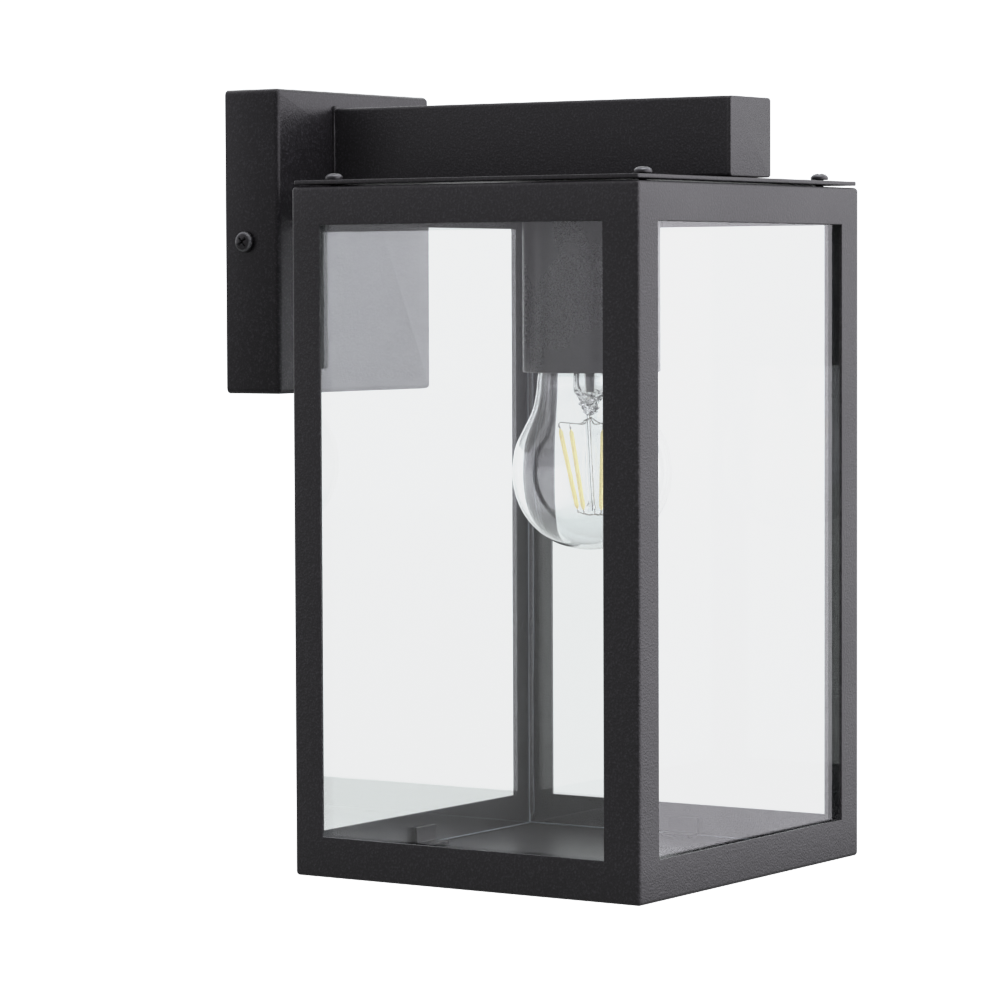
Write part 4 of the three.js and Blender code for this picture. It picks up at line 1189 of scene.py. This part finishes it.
class LANTERN_OT_lampholder(LanternOperator, Operator):
    """Makes the cup, the holder inside it, and the threaded tube and nuts that carry them"""

    bl_idname = "lantern.lampholder"
    bl_label = "Lampholder"

    def execute(self, context):
        axis = centre_of("lampholder_cup")
        steps = self.sizes().round_steps
        self.cup(axis, steps)
        self.holder(axis, steps)
        self.shell(axis)
        for node in ("arm_nut", "cup_nut"):
            finished_copy(node, f"{node}_hex", [material_named("zinc")], BRACKET,
                          0.3 * MM)
        self.threaded_tube(axis, steps)
        finished_copy("lampholder_contact", "lampholder_spring", [material_named("brass")],
                      BRACKET, 0.2 * MM)
        return {"FINISHED"}

    @staticmethod
    def cup(axis, steps):
        """A drawn cup: straight side, a small radius at the closed end and a rolled lip."""
        low, high = corners("lampholder_cup")
        radius = (high[0] - low[0]) / 2.0
        wall, lip, shoulder, hole = 1.0 * MM, 0.5 * MM, 2.2 * MM, 5.3 * MM
        inner = shoulder - wall
        profile = np.concatenate([
            [[hole, high[2]]],
            arc(radius - shoulder, high[2] - shoulder, shoulder, 90, 0, 8),
            arc(radius - lip, low[2] + lip, lip, 0, -180, 10),
            arc(radius - shoulder, high[2] - shoulder, inner, 0, 90, 8),
            [[hole, high[2] - wall]],
        ])
        surface = ring_surface(turned_rings(profile, axis[0], axis[1], steps), "join")
        make_piece("lampholder_cup_drawn", outward(surface), [material_named("smooth_paint")],
                   BRACKET, ("lampholder_cup",), sharp=45.0)

    @staticmethod
    def holder(axis, steps):
        """The holder's moulding: a stepped barrel with grip ribs, whose radius gains a rounded
        wave round the barrel between two plain bands."""
        low, high = corners("lampholder_body")
        radius = (high[0] - low[0]) / 2.0
        bore, ceiling, entry = 14.7 * MM, -3.0 * MM, 5.3 * MM
        edge = 0.6 * MM
        neck = high[2] - 9.0 * MM
        ribs = np.linspace(low[2] + 6.0 * MM, neck - 5.0 * MM, 14)
        outside = np.concatenate([
            arc(radius - edge, low[2] + edge, edge, -90, 0, 3),
            [[radius, low[2] + 3.0 * MM], [radius - 0.5 * MM, low[2] + 3.4 * MM]],
            np.stack([np.full(len(ribs), radius - 0.5 * MM), ribs], axis=1),
            [[radius - 0.5 * MM, neck - 3.0 * MM], [radius, neck - 2.6 * MM]],
            arc(radius - edge, neck - edge, edge, 0, 90, 3),
            arc(radius - 6.0 * MM, high[2] - edge, edge, 0, 90, 3),
        ])
        profile = np.concatenate([outside, [[entry, high[2]], [entry, ceiling], [bore, ceiling],
                                            [bore, low[2]]]])
        rings = turned_rings(profile, axis[0], axis[1], steps * 2)
        first = 6
        turn = np.arange(steps * 2) * FULL_TURN / (steps * 2)
        wave = 0.35 * MM * np.clip(1.4 * np.cos(turn * 36), -1, 1)
        grip = slice(first, first + len(ribs))
        rings[grip, :, 0] += wave * np.cos(turn)
        rings[grip, :, 1] += wave * np.sin(turn)
        make_piece("lampholder_barrel", outward(ring_surface(rings, "join")),
                   [material_named("resin")], BRACKET, ("lampholder_body",),
                   sharp=40.0)

    def shell(self, axis):
        """The threaded brass shell: a thin sleeve whose wall waves with height and angle, one
        wave for each pitch of the cap's thread."""
        low, high = corners("lampholder_shell")
        radius = (high[0] - low[0]) / 2.0
        steps, pitch = 96, self.sizes().cap_pitch
        rise = np.linspace(low[2], high[2], 76)
        turn = np.arange(steps) * FULL_TURN / steps
        wave = 0.3 * MM * np.cos(FULL_TURN * (rise[:, None] / pitch - turn / FULL_TURN))
        fade = np.clip(np.minimum(rise - rise[0], rise[-1] - rise) / (1.5 * MM), 0, 1)[:, None]
        outer_r = radius - 0.35 * MM + wave * fade
        inner_r = outer_r - 0.25 * MM
        r = np.concatenate([outer_r, inner_r[::-1]])
        z = np.concatenate([rise, rise[::-1]])[:, None]
        rings = np.stack([axis[0] + r * np.cos(turn), axis[1] + r * np.sin(turn),
                          np.broadcast_to(z, r.shape)], axis=-1)
        make_piece("lampholder_thread", outward(ring_surface(rings, "join")),
                   [material_named("brass")], BRACKET, ("lampholder_shell",),
                   sharp=60.0)

    @staticmethod
    def threaded_tube(axis, steps):
        """The hollow threaded tube: the outer radius loses a triangle wave of height and angle."""
        low, high = corners("threaded_tube")
        radius = (high[0] - low[0]) / 2.0
        pitch, bore = 1.0 * MM, 3.9 * MM
        rise = np.linspace(low[2], high[2], int((high[2] - low[2]) / pitch * 8))
        turn = np.arange(steps) * FULL_TURN / steps
        phase = rise[:, None] / pitch - turn / FULL_TURN
        outer_r = radius - 0.45 * pitch * np.abs(2.0 * (phase - np.floor(phase)) - 1.0)
        inner_r = np.full_like(outer_r, bore)
        r = np.concatenate([outer_r, inner_r[::-1]])
        z = np.concatenate([rise, rise[::-1]])[:, None]
        rings = np.stack([axis[0] + r * np.cos(turn), axis[1] + r * np.sin(turn),
                          np.broadcast_to(z, r.shape)], axis=-1)
        make_piece("threaded_tube_cut", outward(ring_surface(rings, "join")),
                   [material_named("zinc")], BRACKET, ("threaded_tube",),
                   sharp=50.0)


class LANTERN_OT_bulb_glass(LanternOperator, Operator):
    """Makes the bulb's blown glass envelope"""

    bl_idname = "lantern.bulb_glass"
    bl_label = "Bulb Glass"

    def execute(self, context):
        sizes = self.sizes()
        axis = centre_of("bulb_glass")
        outer = self.outline(0.0)
        inner = self.outline(sizes.glass_wall)
        rings = turned_rings(np.concatenate([outer, inner[::-1]]), axis[0], axis[1],
                             sizes.round_steps)
        # The first and last rows lie on the axis, where a pole closes each wall instead.
        off_axis = rings[1:-1]
        make_piece("bulb_envelope", outward(ring_surface(off_axis, "poles")),
                   [material_named("bulb")], BULB, ("bulb_glass",), sharp=70.0)
        return {"FINISHED"}

    @staticmethod
    def outline(inset):
        """[radius, height] rows from the bottom of the envelope to its neck.

        Below the widest ring the outline is a superellipse, a little squarer than a circle.
        Above it a smooth curve draws in to the wide neck, and in again to the cap.
        """
        low, high = corners("bulb_glass")
        radius = (high[0] - low[0]) / 2.0
        power, drop = 2.1, 30.0 * MM
        widest = low[2] + drop
        turn = np.linspace(0.0, math.pi / 2.0, 40)[:-1]
        across = radius * np.sin(turn) ** (2.0 / power)
        down = drop * np.cos(turn) ** (2.0 / power)
        lower = np.stack([across, widest - down], axis=1)
        flank = smooth_curve(np.array([
            [radius, widest], [radius - 0.0013, widest + 0.0083], [0.0247, widest + 0.0153],
            [0.0215, widest + 0.0221], [0.0200, widest + 0.0292], [0.0193, widest + 0.0357],
            [0.0168, widest + 0.0430], [0.0142, high[2]],
        ]), 60)
        rows = np.concatenate([lower, flank])
        slope = np.gradient(rows, axis=0)
        slope /= np.maximum(np.linalg.norm(slope, axis=1, keepdims=True), 1e-12)
        inward = np.stack([-slope[:, 1], slope[:, 0]], axis=1)
        rows = rows + inward * inset
        rows[:, 0] = np.maximum(rows[:, 0], 0.0)
        return rows


class LANTERN_OT_bulb_inside(LanternOperator, Operator):
    """Makes the stem, leads and filaments inside the bulb"""

    bl_idname = "lantern.bulb_inside"
    bl_label = "Stem and Filaments"

    FILAMENTS = 4

    def execute(self, context):
        axis = centre_of("bulb_glass")
        foot = self.rod_ends("bulb_centre_wire")[1]
        tops, ends = self.filaments()
        foot[:2] = ends[:, :2].mean(axis=0) * 0.35 + foot[:2] * 0.65
        pinch = corners("bulb_stem")[0][2]
        self.stem(axis)
        self.support(np.array([axis[0], axis[1], pinch]), foot)
        self.leads(axis, tops, ends, foot)
        return {"FINISHED"}

    @staticmethod
    def rod_ends(node):
        """Upper and lower end of a rod: the mean of its mesh's highest and lowest corners."""
        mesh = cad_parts[node].data
        places = np.empty(len(mesh.vertices) * 3)
        mesh.vertices.foreach_get("co", places)
        places = np.unique(np.round(places.reshape(-1, 3), 6), axis=0)
        height = places[:, 2]
        quarter = (height.max() - height.min()) / 4.0
        return (places[height > height.max() - quarter].mean(axis=0),
                places[height < height.min() + quarter].mean(axis=0))

    def filaments(self):
        """Each filament is a slim rod between its frame node's upper and lower end, with rounded
        ends, and short metal tags stand out at both ends."""
        tops, ends = [], []
        for index in range(1, self.FILAMENTS + 1):
            node = f"filament_{index}"
            top, end = self.rod_ends(node)
            tops.append(top)
            ends.append(end)
            along = np.linspace(0.0, 1.0, 40)[:, None]
            path = top + (end - top) * (0.02 + 0.96 * along)
            radius = 0.84 * MM * np.minimum(1.0, np.minimum(along, 1 - along)[:, 0] * 14 + 0.35)
            rod = ring_surface(tube_rings(path, radius, 16, (0.0, 1.0, 0.0)), "poles")
            make_piece(f"filament_rod_{index}", outward(rod), [material_named("phosphor")], BULB,
                       (node,), sharp=60.0)
            tags = []
            for start, stop in ((top, end), (end, top)):
                line = np.linspace(start - (stop - start) * 0.03, start + (stop - start) * 0.05, 6)
                tags.append(ring_surface(tube_rings(line, 0.3 * MM, 8, (0.0, 1.0, 0.0)), "poles"))
            make_piece(f"filament_tags_{index}", outward(joined(*tags)),
                       [material_named("nickel")], BULB, sharp=60.0)
        return np.array(tops), np.array(ends)

    @staticmethod
    def stem(axis):
        """The stem: a flared skirt fused to the neck, a thin-walled tube, and a solid pinch where
        the leads pass through. The profile goes up the inner wall and down the outer one. In the
        pinch the section is squeezed along one direction and swells and shrinks with the angle
        and height, as softened glass does in the pliers."""
        low, high = corners("bulb_stem")
        steps = 72
        inner = smooth_curve(np.array([
            [0.0006, low[2] + 0.0062], [0.0032, low[2] + 0.0074], [0.0052, low[2] + 0.0100],
            [0.0055, low[2] + 0.0185], [0.0072, low[2] + 0.0235], [0.0104, high[2] - 0.0004],
        ]), 60)
        outer = smooth_curve(np.array([
            [0.0112, high[2] - 0.0002], [0.0080, low[2] + 0.0232], [0.0063, low[2] + 0.0185],
            [0.0061, low[2] + 0.0098], [0.0054, low[2] + 0.0076], [0.0042, low[2] + 0.0060],
            [0.0033, low[2] + 0.0036], [0.0024, low[2] + 0.0012], [0.0011, low[2]],
        ]), 110)
        outline = np.concatenate([inner, outer])
        rings = turned_rings(outline, axis[0], axis[1], steps)
        height = outline[:, 1:]
        pinch = np.clip((low[2] + 0.0085 - height) / 0.0035, 0, 1)
        pinch[:len(inner)] = 0.0
        turn = np.arange(steps) * FULL_TURN / steps
        lumps = 1.0 + pinch * (0.16 * np.sin(3 * turn + height / 0.0007)
                               + 0.13 * np.sin(5 * turn - height / 0.0004))
        offset = rings - np.array([axis[0], axis[1], 0.0])
        rings[..., 0] = axis[0] + offset[..., 0] * (1.0 + 0.35 * pinch) * lumps
        rings[..., 1] = axis[1] + offset[..., 1] * (1.0 - 0.30 * pinch) * lumps
        make_piece("bulb_stem_glass", outward(ring_surface(rings, "poles")),
                   [material_named("stem")], BULB, ("bulb_stem",), sharp=70.0)
        bottom, top = low[2] + 0.0082, high[2] - 0.0006
        bore = np.array([[0.0016, bottom], [0.0016, top], [0.0010, top], [0.0010, bottom]])
        rings = turned_rings(bore, axis[0], axis[1], 32)
        make_piece("bulb_exhaust_tube", outward(ring_surface(rings, "join")),
                   [material_named("stem")], BULB, sharp=40.0)

    @staticmethod
    def support(start, foot):
        """A glass rod from the pinch to the wires' crossing, with a fused button at its foot: its
        radius is even along the rod and swells there as a bell curve."""
        share = np.linspace(0.0, 1.0, 60)
        side = np.array([-0.8, 1.1, 0.0]) * MM
        path = start + side + (foot + [0.0, 0.0, 1.4 * MM] - start) * share[:, None]
        radius = 1.05 * MM + 0.75 * MM * np.exp(-((share - 0.965) / 0.035) ** 2)
        rod = ring_surface(tube_rings(path, radius, 24, (0.0, 1.0, 0.0)), "poles")
        make_piece("bulb_support_rod", outward(rod), [material_named("stem")], BULB,
                   sharp=70.0)

    @staticmethod
    def leads(axis, tops, ends, foot):
        """Fine wires on smooth curves. Each lead comes down beside the exhaust tube, through the
        pinch and out to its two filament tops, and ends in a small hook. The middle wire runs
        down to a crossing that sags between the four lower ends."""
        low, high = corners("bulb_stem")
        pinch = low[2]
        knot = np.array([axis[0], axis[1], pinch - 0.6 * MM])
        for label, near, far, side in (("left", 0, 1, -1.0), ("right", 3, 2, 1.0)):
            entry = [[axis[0] + side * 3.0 * MM, axis[1], high[2] - 1.0 * MM],
                     [axis[0] + side * 3.0 * MM, axis[1], pinch + 12.0 * MM],
                     [axis[0] + side * 1.0 * MM, axis[1], pinch + 5.0 * MM],
                     [axis[0] + side * 0.6 * MM, axis[1], pinch + 0.5 * MM], knot]
            paths = [smooth_curve(entry, 60)]
            for tip in (tops[near], tops[far]):
                out = tip - knot
                paths.append(smooth_curve([
                    knot, knot + out * 0.3 + [0.0, 0.0, -1.3 * MM],
                    knot + out * 0.75 + [0.0, 0.0, 0.5 * MM], tip + [0.0, 0.0, 1.5 * MM],
                    tip + out * 0.05 + [0.0, 0.0, 0.1 * MM]], 50))
            rings = [ring_surface(tube_rings(path, 0.2 * MM, 8, (0.31, 0.9, 0.2)), "poles")
                     for path in paths]
            make_piece(f"bulb_lead_wire_{label}", outward(joined(*rings)),
                       [material_named("nickel")], BULB, (f"bulb_lead_{label}",),
                       sharp=60.0)
        middle = smooth_curve([knot + [0.0, 0.0, 1.5 * MM], knot + (foot - knot) * 0.35
                               + [0.3 * MM, 0.3 * MM, 0.0], knot + (foot - knot) * 0.75, foot],
                              50)
        arms = [smooth_curve([foot, (foot + end) / 2.0 + [0.0, 0.0, -0.8 * MM],
                              end + [0.0, 0.0, -0.4 * MM]], 24) for end in ends]
        parts = [ring_surface(tube_rings(path, 0.2 * MM, 8, (1.0, 0.3, 0.2)), "poles")
                 for path in [middle, *arms]]
        blob = np.linspace(knot + [0.0, 0.0, 0.9 * MM], knot + [0.0, 0.0, -0.9 * MM], 14)
        share = np.linspace(-1.0, 1.0, 14)
        swell = 0.62 * MM * np.sqrt(np.maximum(1.0 - share ** 2, 0.04))
        parts.append(ring_surface(tube_rings(blob, swell, 12, (1.0, 0.0, 0.0)), "poles"))
        make_piece("bulb_middle_wire", outward(joined(*parts)), [material_named("nickel")], BULB,
                   ("bulb_centre_wire",), sharp=60.0)


class LANTERN_OT_bulb_cap(LanternOperator, Operator):
    """Makes the bulb's screw cap, its glass insulator and its tip contact"""

    bl_idname = "lantern.bulb_cap"
    bl_label = "Bulb Cap"

    def execute(self, context):
        axis = centre_of("bulb_cap")
        low, high = corners("bulb_cap")
        radius = (high[0] - low[0]) / 2.0
        pitch = self.sizes().cap_pitch
        steps = 120
        rise = np.linspace(low[2], high[2] - 2.2 * MM, 96)
        turn = np.arange(steps) * FULL_TURN / steps
        wave = -0.5 * MM + 0.5 * MM * np.cos(FULL_TURN * (rise[:, None] / pitch
                                                         - turn / FULL_TURN))
        fade = np.clip((rise - low[2] - 2.6 * MM) / (1.2 * MM), 0, 1)
        fade *= np.clip((rise[-1] - rise) / (1.5 * MM), 0, 1)
        barrel_r = radius + wave * fade[:, None] - 0.25 * MM * (1 - fade[:, None])
        shoulder = arc(radius - 2.6 * MM, high[2] - 2.2 * MM, 2.2 * MM, 20, 90, 8)
        rings = np.empty((len(rise) + len(shoulder), steps, 3))
        r = np.concatenate([barrel_r, np.repeat(shoulder[:, :1], steps, axis=1)])
        z = np.concatenate([rise, shoulder[:, 1]])[:, None]
        rings[..., 0] = axis[0] + r * np.cos(turn)
        rings[..., 1] = axis[1] + r * np.sin(turn)
        rings[..., 2] = z
        make_piece("bulb_cap_rolled", outward(ring_surface(rings, "poles")),
                   [material_named("nickel")], BULB, ("bulb_cap",), sharp=45.0)
        self.button("bulb_insulator", "bulb_cap_insulator", "resin", "black_resin", axis, 0.55)
        self.button("bulb_tip", "bulb_tip_contact", "nickel", "nickel", axis, 0.5)
        return {"FINISHED"}

    @staticmethod
    def button(node, name, finish, slot, axis, top_share):
        """A low turned button: its side curves in from the full radius to a share of it, as a
        quarter of an ellipse."""
        low, high = corners(node)
        radius = (high[0] - low[0]) / 2.0
        turn = np.linspace(0.0, math.pi / 2.0, 14)
        across = radius * (top_share + (1 - top_share) * np.cos(turn))
        rise = low[2] + (high[2] - low[2]) * np.sin(turn)
        profile = np.concatenate([[[radius * 0.96, low[2]]], np.stack([across, rise], axis=1)])
        rings = turned_rings(profile, axis[0], axis[1], 72)
        make_piece(name, outward(ring_surface(rings, "poles")), [material_named(finish)], BULB,
                   (node,), sharp=50.0)


class LANTERN_OT_wiring(LanternOperator, Operator):
    """Makes the sleeved wires from the terminal block to the holder and the earth screw"""

    bl_idname = "lantern.wiring"
    bl_label = "Wiring"

    def execute(self, context):
        block_low, block_high = corners("terminal_block")
        way_y = block_low[1] + 5.0 * MM
        block_top = block_high[2] + 0.3 * MM
        arm_low, arm_high = corners("arm")
        level = (arm_low[2] + arm_high[2]) / 2.0
        plate_front = corners("wall_plate")[0][1]
        lamp_y = centre_of("lampholder_cup")[1]
        tube_low, tube_high = corners("threaded_tube")
        tube_top = tube_high[2]
        wire_end = tube_low[2] - 4.0 * MM
        lanes = {"live": (0.0, -2.0 * MM), "neutral": (8.0 * MM, 2.0 * MM)}
        for label, (block_x, lane_x) in lanes.items():
            route = [
                [block_x, way_y, block_top],
                [block_x, way_y, block_top + 8.0 * MM],
                [(block_x + lane_x) / 2.0, way_y, 0.0],
                [lane_x, way_y, level - 12.0 * MM],
                [lane_x, way_y - 2.0 * MM, level - 3.0 * MM],
                [lane_x, plate_front - 8.0 * MM, level],
                [lane_x, plate_front - 40.0 * MM, level],
                [lane_x, lamp_y + 30.0 * MM, level],
                [lane_x, lamp_y + 8.0 * MM, level - 0.5 * MM],
                [lane_x, lamp_y + 1.0 * MM, level - 4.0 * MM],
                [lane_x, lamp_y, tube_top - 1.0 * MM],
                [lane_x, lamp_y, (tube_top + wire_end) / 2.0],
                [lane_x, lamp_y, wire_end],
            ]
            self.wire(label, route, 220)
        self.wire("earth", [
            [-8.0 * MM, way_y, block_top],
            [-8.0 * MM, way_y + 2.0 * MM, block_top + 8.0 * MM],
            [-7.0 * MM, -14.0 * MM, -14.0 * MM],
            [-3.0 * MM, -9.0 * MM, -7.0 * MM],
            [3.0 * MM, -5.0 * MM, -2.5 * MM],
            [8.6 * MM, -3.0 * MM, -0.6 * MM],
        ], 90)
        return {"FINISHED"}

    @staticmethod
    def wire(label, route, steps):
        """A round wire along a smooth curve through its route. Its UVs run once round the wire
        and one unit for each 20 mm along it."""
        sides = 20
        path = smooth_curve(route, steps)
        rings = tube_rings(path, 1.0 * MM, sides, (1.0, 0.0, 0.0))
        along = np.concatenate([[0.0], np.cumsum(np.linalg.norm(np.diff(path, axis=0),
                                                                axis=1))]) / 0.02
        around = np.abs(np.arange(sides) * 2.0 / sides - 1.0)
        grid = np.stack(np.broadcast_arrays(around[None, :], along[:, None]), axis=-1)
        uv = np.concatenate([grid.reshape(-1, 2), [[0.0, 0.0], [0.0, along[-1]]]])
        make_piece(f"{label}_wire_sleeve", outward(ring_surface(rings, "poles")),
                   [material_named(label)], BRACKET, (f"wire_{label}",),
                   sharp=60.0, uv=uv)


class LANTERN_OT_stage(LanternOperator, Operator):
    """Sets the pale floor, the studio light and the camera"""

    bl_idname = "lantern.stage"
    bl_label = "Stage"

    LENS = 150.4
    AZIMUTH = -56.262
    ELEVATION = 2.884
    ROLL = -0.224
    CAMERA = (-1.3150, -0.9697, -0.0184)
    WHITE = 1.7
    THROUGH = 1.0
    PANEL = 2.7
    BACKDROP = 0.95
    BRIGHT_SPOT = 0.8
    ROOM = 0.1
    FLOOR_THROUGH = 0.88
    FLOOR_AROUND = 0.3
    FLOOR_DROP = 0.75

    def execute(self, context):
        self.camera(context.scene)
        self.floor()
        self.light(context.scene)
        return {"FINISHED"}

    def camera(self, scene):
        """The camera looks from the lantern's left front corner, a little above level."""
        azimuth, elevation = math.radians(self.AZIMUTH), math.radians(self.ELEVATION)
        roll = math.radians(self.ROLL)
        back = Vector((math.sin(azimuth) * math.cos(elevation),
                       -math.cos(azimuth) * math.cos(elevation), math.sin(elevation)))
        level = Vector((math.cos(azimuth), math.sin(azimuth), 0.0))
        upright = back.cross(level)
        right = math.cos(roll) * level + math.sin(roll) * upright
        up = -math.sin(roll) * level + math.cos(roll) * upright
        data = bpy.data.cameras.new("Camera")
        data.lens = self.LENS
        data.sensor_width = 36.0
        camera = bpy.data.objects.new("Camera", data)
        scene.collection.objects.link(camera)
        turn = Matrix((right, up, back)).transposed()
        camera.matrix_world = Matrix.Translation(self.CAMERA) @ turn.to_4x4()
        scene.camera = camera

    @staticmethod
    def seen_as(tree, seen, through, around):
        """A brightness by how a surface is looked at: straight on, through glass, or as the light
        that falls on the lantern and shines back from it. The first is a number; each of the
        other two is a number or a socket."""
        path = add_node(tree, "ShaderNodeLightPath")
        inner = add_node(tree, "ShaderNodeMix", data_type="FLOAT")
        outer = add_node(tree, "ShaderNodeMix", data_type="FLOAT")
        tree.links.new(path.outputs["Is Transmission Ray"], inner.inputs[0])
        tree.links.new(path.outputs["Is Camera Ray"], outer.inputs[0])
        outer.inputs[3].default_value = seen
        for value, socket in ((through, inner.inputs[3]), (around, inner.inputs[2])):
            if isinstance(value, (int, float)):
                socket.default_value = value
            else:
                tree.links.new(value, socket)
        tree.links.new(inner.outputs[0], outer.inputs[2])
        return outer.outputs[0]

    def floor(self):
        """A plain pale floor well below the lantern, with its edge far behind it."""
        back, near, reach = 5.4, 2.0, 14.0
        height = CAD_BOX[0][2] - self.FLOOR_DROP
        mesh = bpy.data.meshes.new("studio_floor")
        mesh.from_pydata([(-reach, -near, height), (back, -near, height),
                          (back, reach, height), (-reach, reach, height)], [], [(0, 1, 2, 3)])
        floor = bpy.data.objects.new("studio_floor", mesh)
        bpy.context.scene.collection.objects.link(floor)
        material = bpy.data.materials.new("Studio floor")
        material.use_nodes = True
        tree = material.node_tree
        glow = add_node(tree, "ShaderNodeEmission", Color=(0.99, 0.99, 1.0, 1.0))
        tree.links.new(self.seen_as(tree, self.WHITE, self.THROUGH * self.FLOOR_THROUGH,
                                    self.FLOOR_AROUND), glow.inputs["Strength"])
        tree.links.new(glow.outputs[0], tree.nodes["Material Output"].inputs["Surface"])
        mesh.materials.append(material)

    @staticmethod
    def panel_light(name, place, target, width, height, power):
        """A soft rectangular light that faces a target."""
        data = bpy.data.lights.new(name, "AREA")
        data.shape = "RECTANGLE"
        data.size, data.size_y = width, height
        data.energy = power
        light = bpy.data.objects.new(name, data)
        bpy.context.scene.collection.objects.link(light)
        light.location = place
        aim = Vector(target) - Vector(place)
        light.rotation_euler = aim.to_track_quat("-Z", "Y").to_euler()
        light.visible_camera = False

    @staticmethod
    def film(scene):
        """A soft shoulder: brightness runs straight to about two thirds and then rolls off, so
        that glass in front of the white room stays just below white."""
        view = scene.view_settings
        view.view_transform = "Standard"
        view.use_curve_mapping = True
        mapping = view.curve_mapping
        mapping.clip_max_x = 1.6
        curve = mapping.curves[3]
        curve.points[-1].location = (1.5, 1.0)
        for place in ((0.35, 0.35), (0.65, 0.65), (0.82, 0.80), (1.05, 0.855), (1.25, 0.885)):
            curve.points.new(*place)
        mapping.update()

    def light(self, scene):
        """A white room. Round the lantern, a wide soft panel stands to the right and in front,
        brightest at its middle height, and a pale backdrop stands behind. Through glass the room
        is white too, but a ray that leaves to the right or in front meets the panel as it is."""
        self.film(scene)
        place, target, side, power = (-0.3, -0.6, 2.4), (0.0, -0.13, -0.08), 2.0, 16.0
        self.panel_light("Top light", place, target, side, side, power)
        world = bpy.data.worlds.new("Studio")
        world.use_nodes = True
        scene.world = world
        tree = world.node_tree
        tree.nodes.clear()
        way = add_node(tree, "ShaderNodeSeparateXYZ")
        tree.links.new(add_node(tree, "ShaderNodeTexCoord").outputs["Generated"], way.inputs[0])
        x, y, z = way.outputs
        bearing = maths(tree, "ARCTAN2", x, maths(tree, "MULTIPLY", y, -1.0))
        panel = maths(tree, "MULTIPLY", spread(tree, bearing, -0.75, -0.2),
                      spread(tree, bearing, 0.86, 1.24, 1.0, 0.0))
        panel = maths(tree, "MULTIPLY", panel, spread(tree, z, -0.30, 0.03))
        panel = maths(tree, "MULTIPLY", panel, spread(tree, z, 0.55, 0.8, 1.0, 0.0))
        behind = maths(tree, "ADD", maths(tree, "MULTIPLY", x, 0.83),
                       maths(tree, "MULTIPLY", y, 0.56))
        backdrop = spread(tree, behind, -1.3, 0.5)
        around = maths(tree, "ADD", maths(tree, "MULTIPLY", panel, self.PANEL),
                       maths(tree, "MULTIPLY", backdrop, self.BACKDROP))
        around = maths(tree, "ADD", around, self.ROOM)
        bright = maths(tree, "MULTIPLY", spread(tree, behind, 0.5, 0.9), self.BRIGHT_SPOT)
        around = maths(tree, "ADD", around, bright)
        tint = blended(tree, spread(tree, behind, 0.4, 0.75), (1.01, 0.98, 1.055),
                       (0.97, 0.985, 1.0))
        glow = add_node(tree, "ShaderNodeBackground")
        tree.links.new(tint, glow.inputs["Color"])
        ahead = maths(tree, "MULTIPLY", spread(tree, bearing, -1.2, -0.75),
                      spread(tree, bearing, 1.3, 1.6, 1.0, 0.0))
        through = add_node(tree, "ShaderNodeMix", data_type="FLOAT")
        tree.links.new(ahead, through.inputs[0])
        through.inputs[2].default_value = self.THROUGH
        tree.links.new(around, through.inputs[3])
        tree.links.new(self.seen_as(tree, self.WHITE, through.outputs[0], around),
                       glow.inputs["Strength"])
        output = add_node(tree, "ShaderNodeOutputWorld")
        tree.links.new(glow.outputs[0], output.inputs["Surface"])


OPERATORS = (
    LANTERN_OT_stage,
    LANTERN_OT_wall_plate,
    LANTERN_OT_wall_fixings,
    LANTERN_OT_arm,
    LANTERN_OT_top_sheet,
    LANTERN_OT_screws,
    LANTERN_OT_cage,
    LANTERN_OT_floor,
    LANTERN_OT_panes,
    LANTERN_OT_lampholder,
    LANTERN_OT_bulb_glass,
    LANTERN_OT_bulb_inside,
    LANTERN_OT_bulb_cap,
    LANTERN_OT_wiring,
)


class LANTERN_PT_sidebar(Panel):
    """Lists the lantern's operators, sizes and finishes"""

    bl_idname = "LANTERN_PT_sidebar"
    bl_label = "Wall Lantern"
    bl_space_type = "VIEW_3D"
    bl_region_type = "UI"
    bl_category = "Lantern"

    def draw(self, context):
        layout = self.layout
        for operator in OPERATORS:
            layout.operator(operator.bl_idname)
        for group in (context.scene.lantern_sizes, context.scene.lantern_finish):
            box = layout.box()
            for name in group.__annotations__:
                box.prop(group, name)


CLASSES = (LanternSizes, LanternFinish, *OPERATORS, LANTERN_PT_sidebar)


def register():
    for cls in CLASSES:
        bpy.utils.register_class(cls)
    bpy.types.Scene.lantern_sizes = PointerProperty(type=LanternSizes)
    bpy.types.Scene.lantern_finish = PointerProperty(type=LanternFinish)


def unregister():
    del bpy.types.Scene.lantern_finish
    del bpy.types.Scene.lantern_sizes
    for cls in reversed(CLASSES):
        bpy.utils.unregister_class(cls)


def main():
    """Registers the add-on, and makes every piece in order."""
    register()
    for operator in OPERATORS:
        group, name = operator.bl_idname.split(".")
        getattr(getattr(bpy.ops, group), name)()


if __name__ == "__main__":
    main()
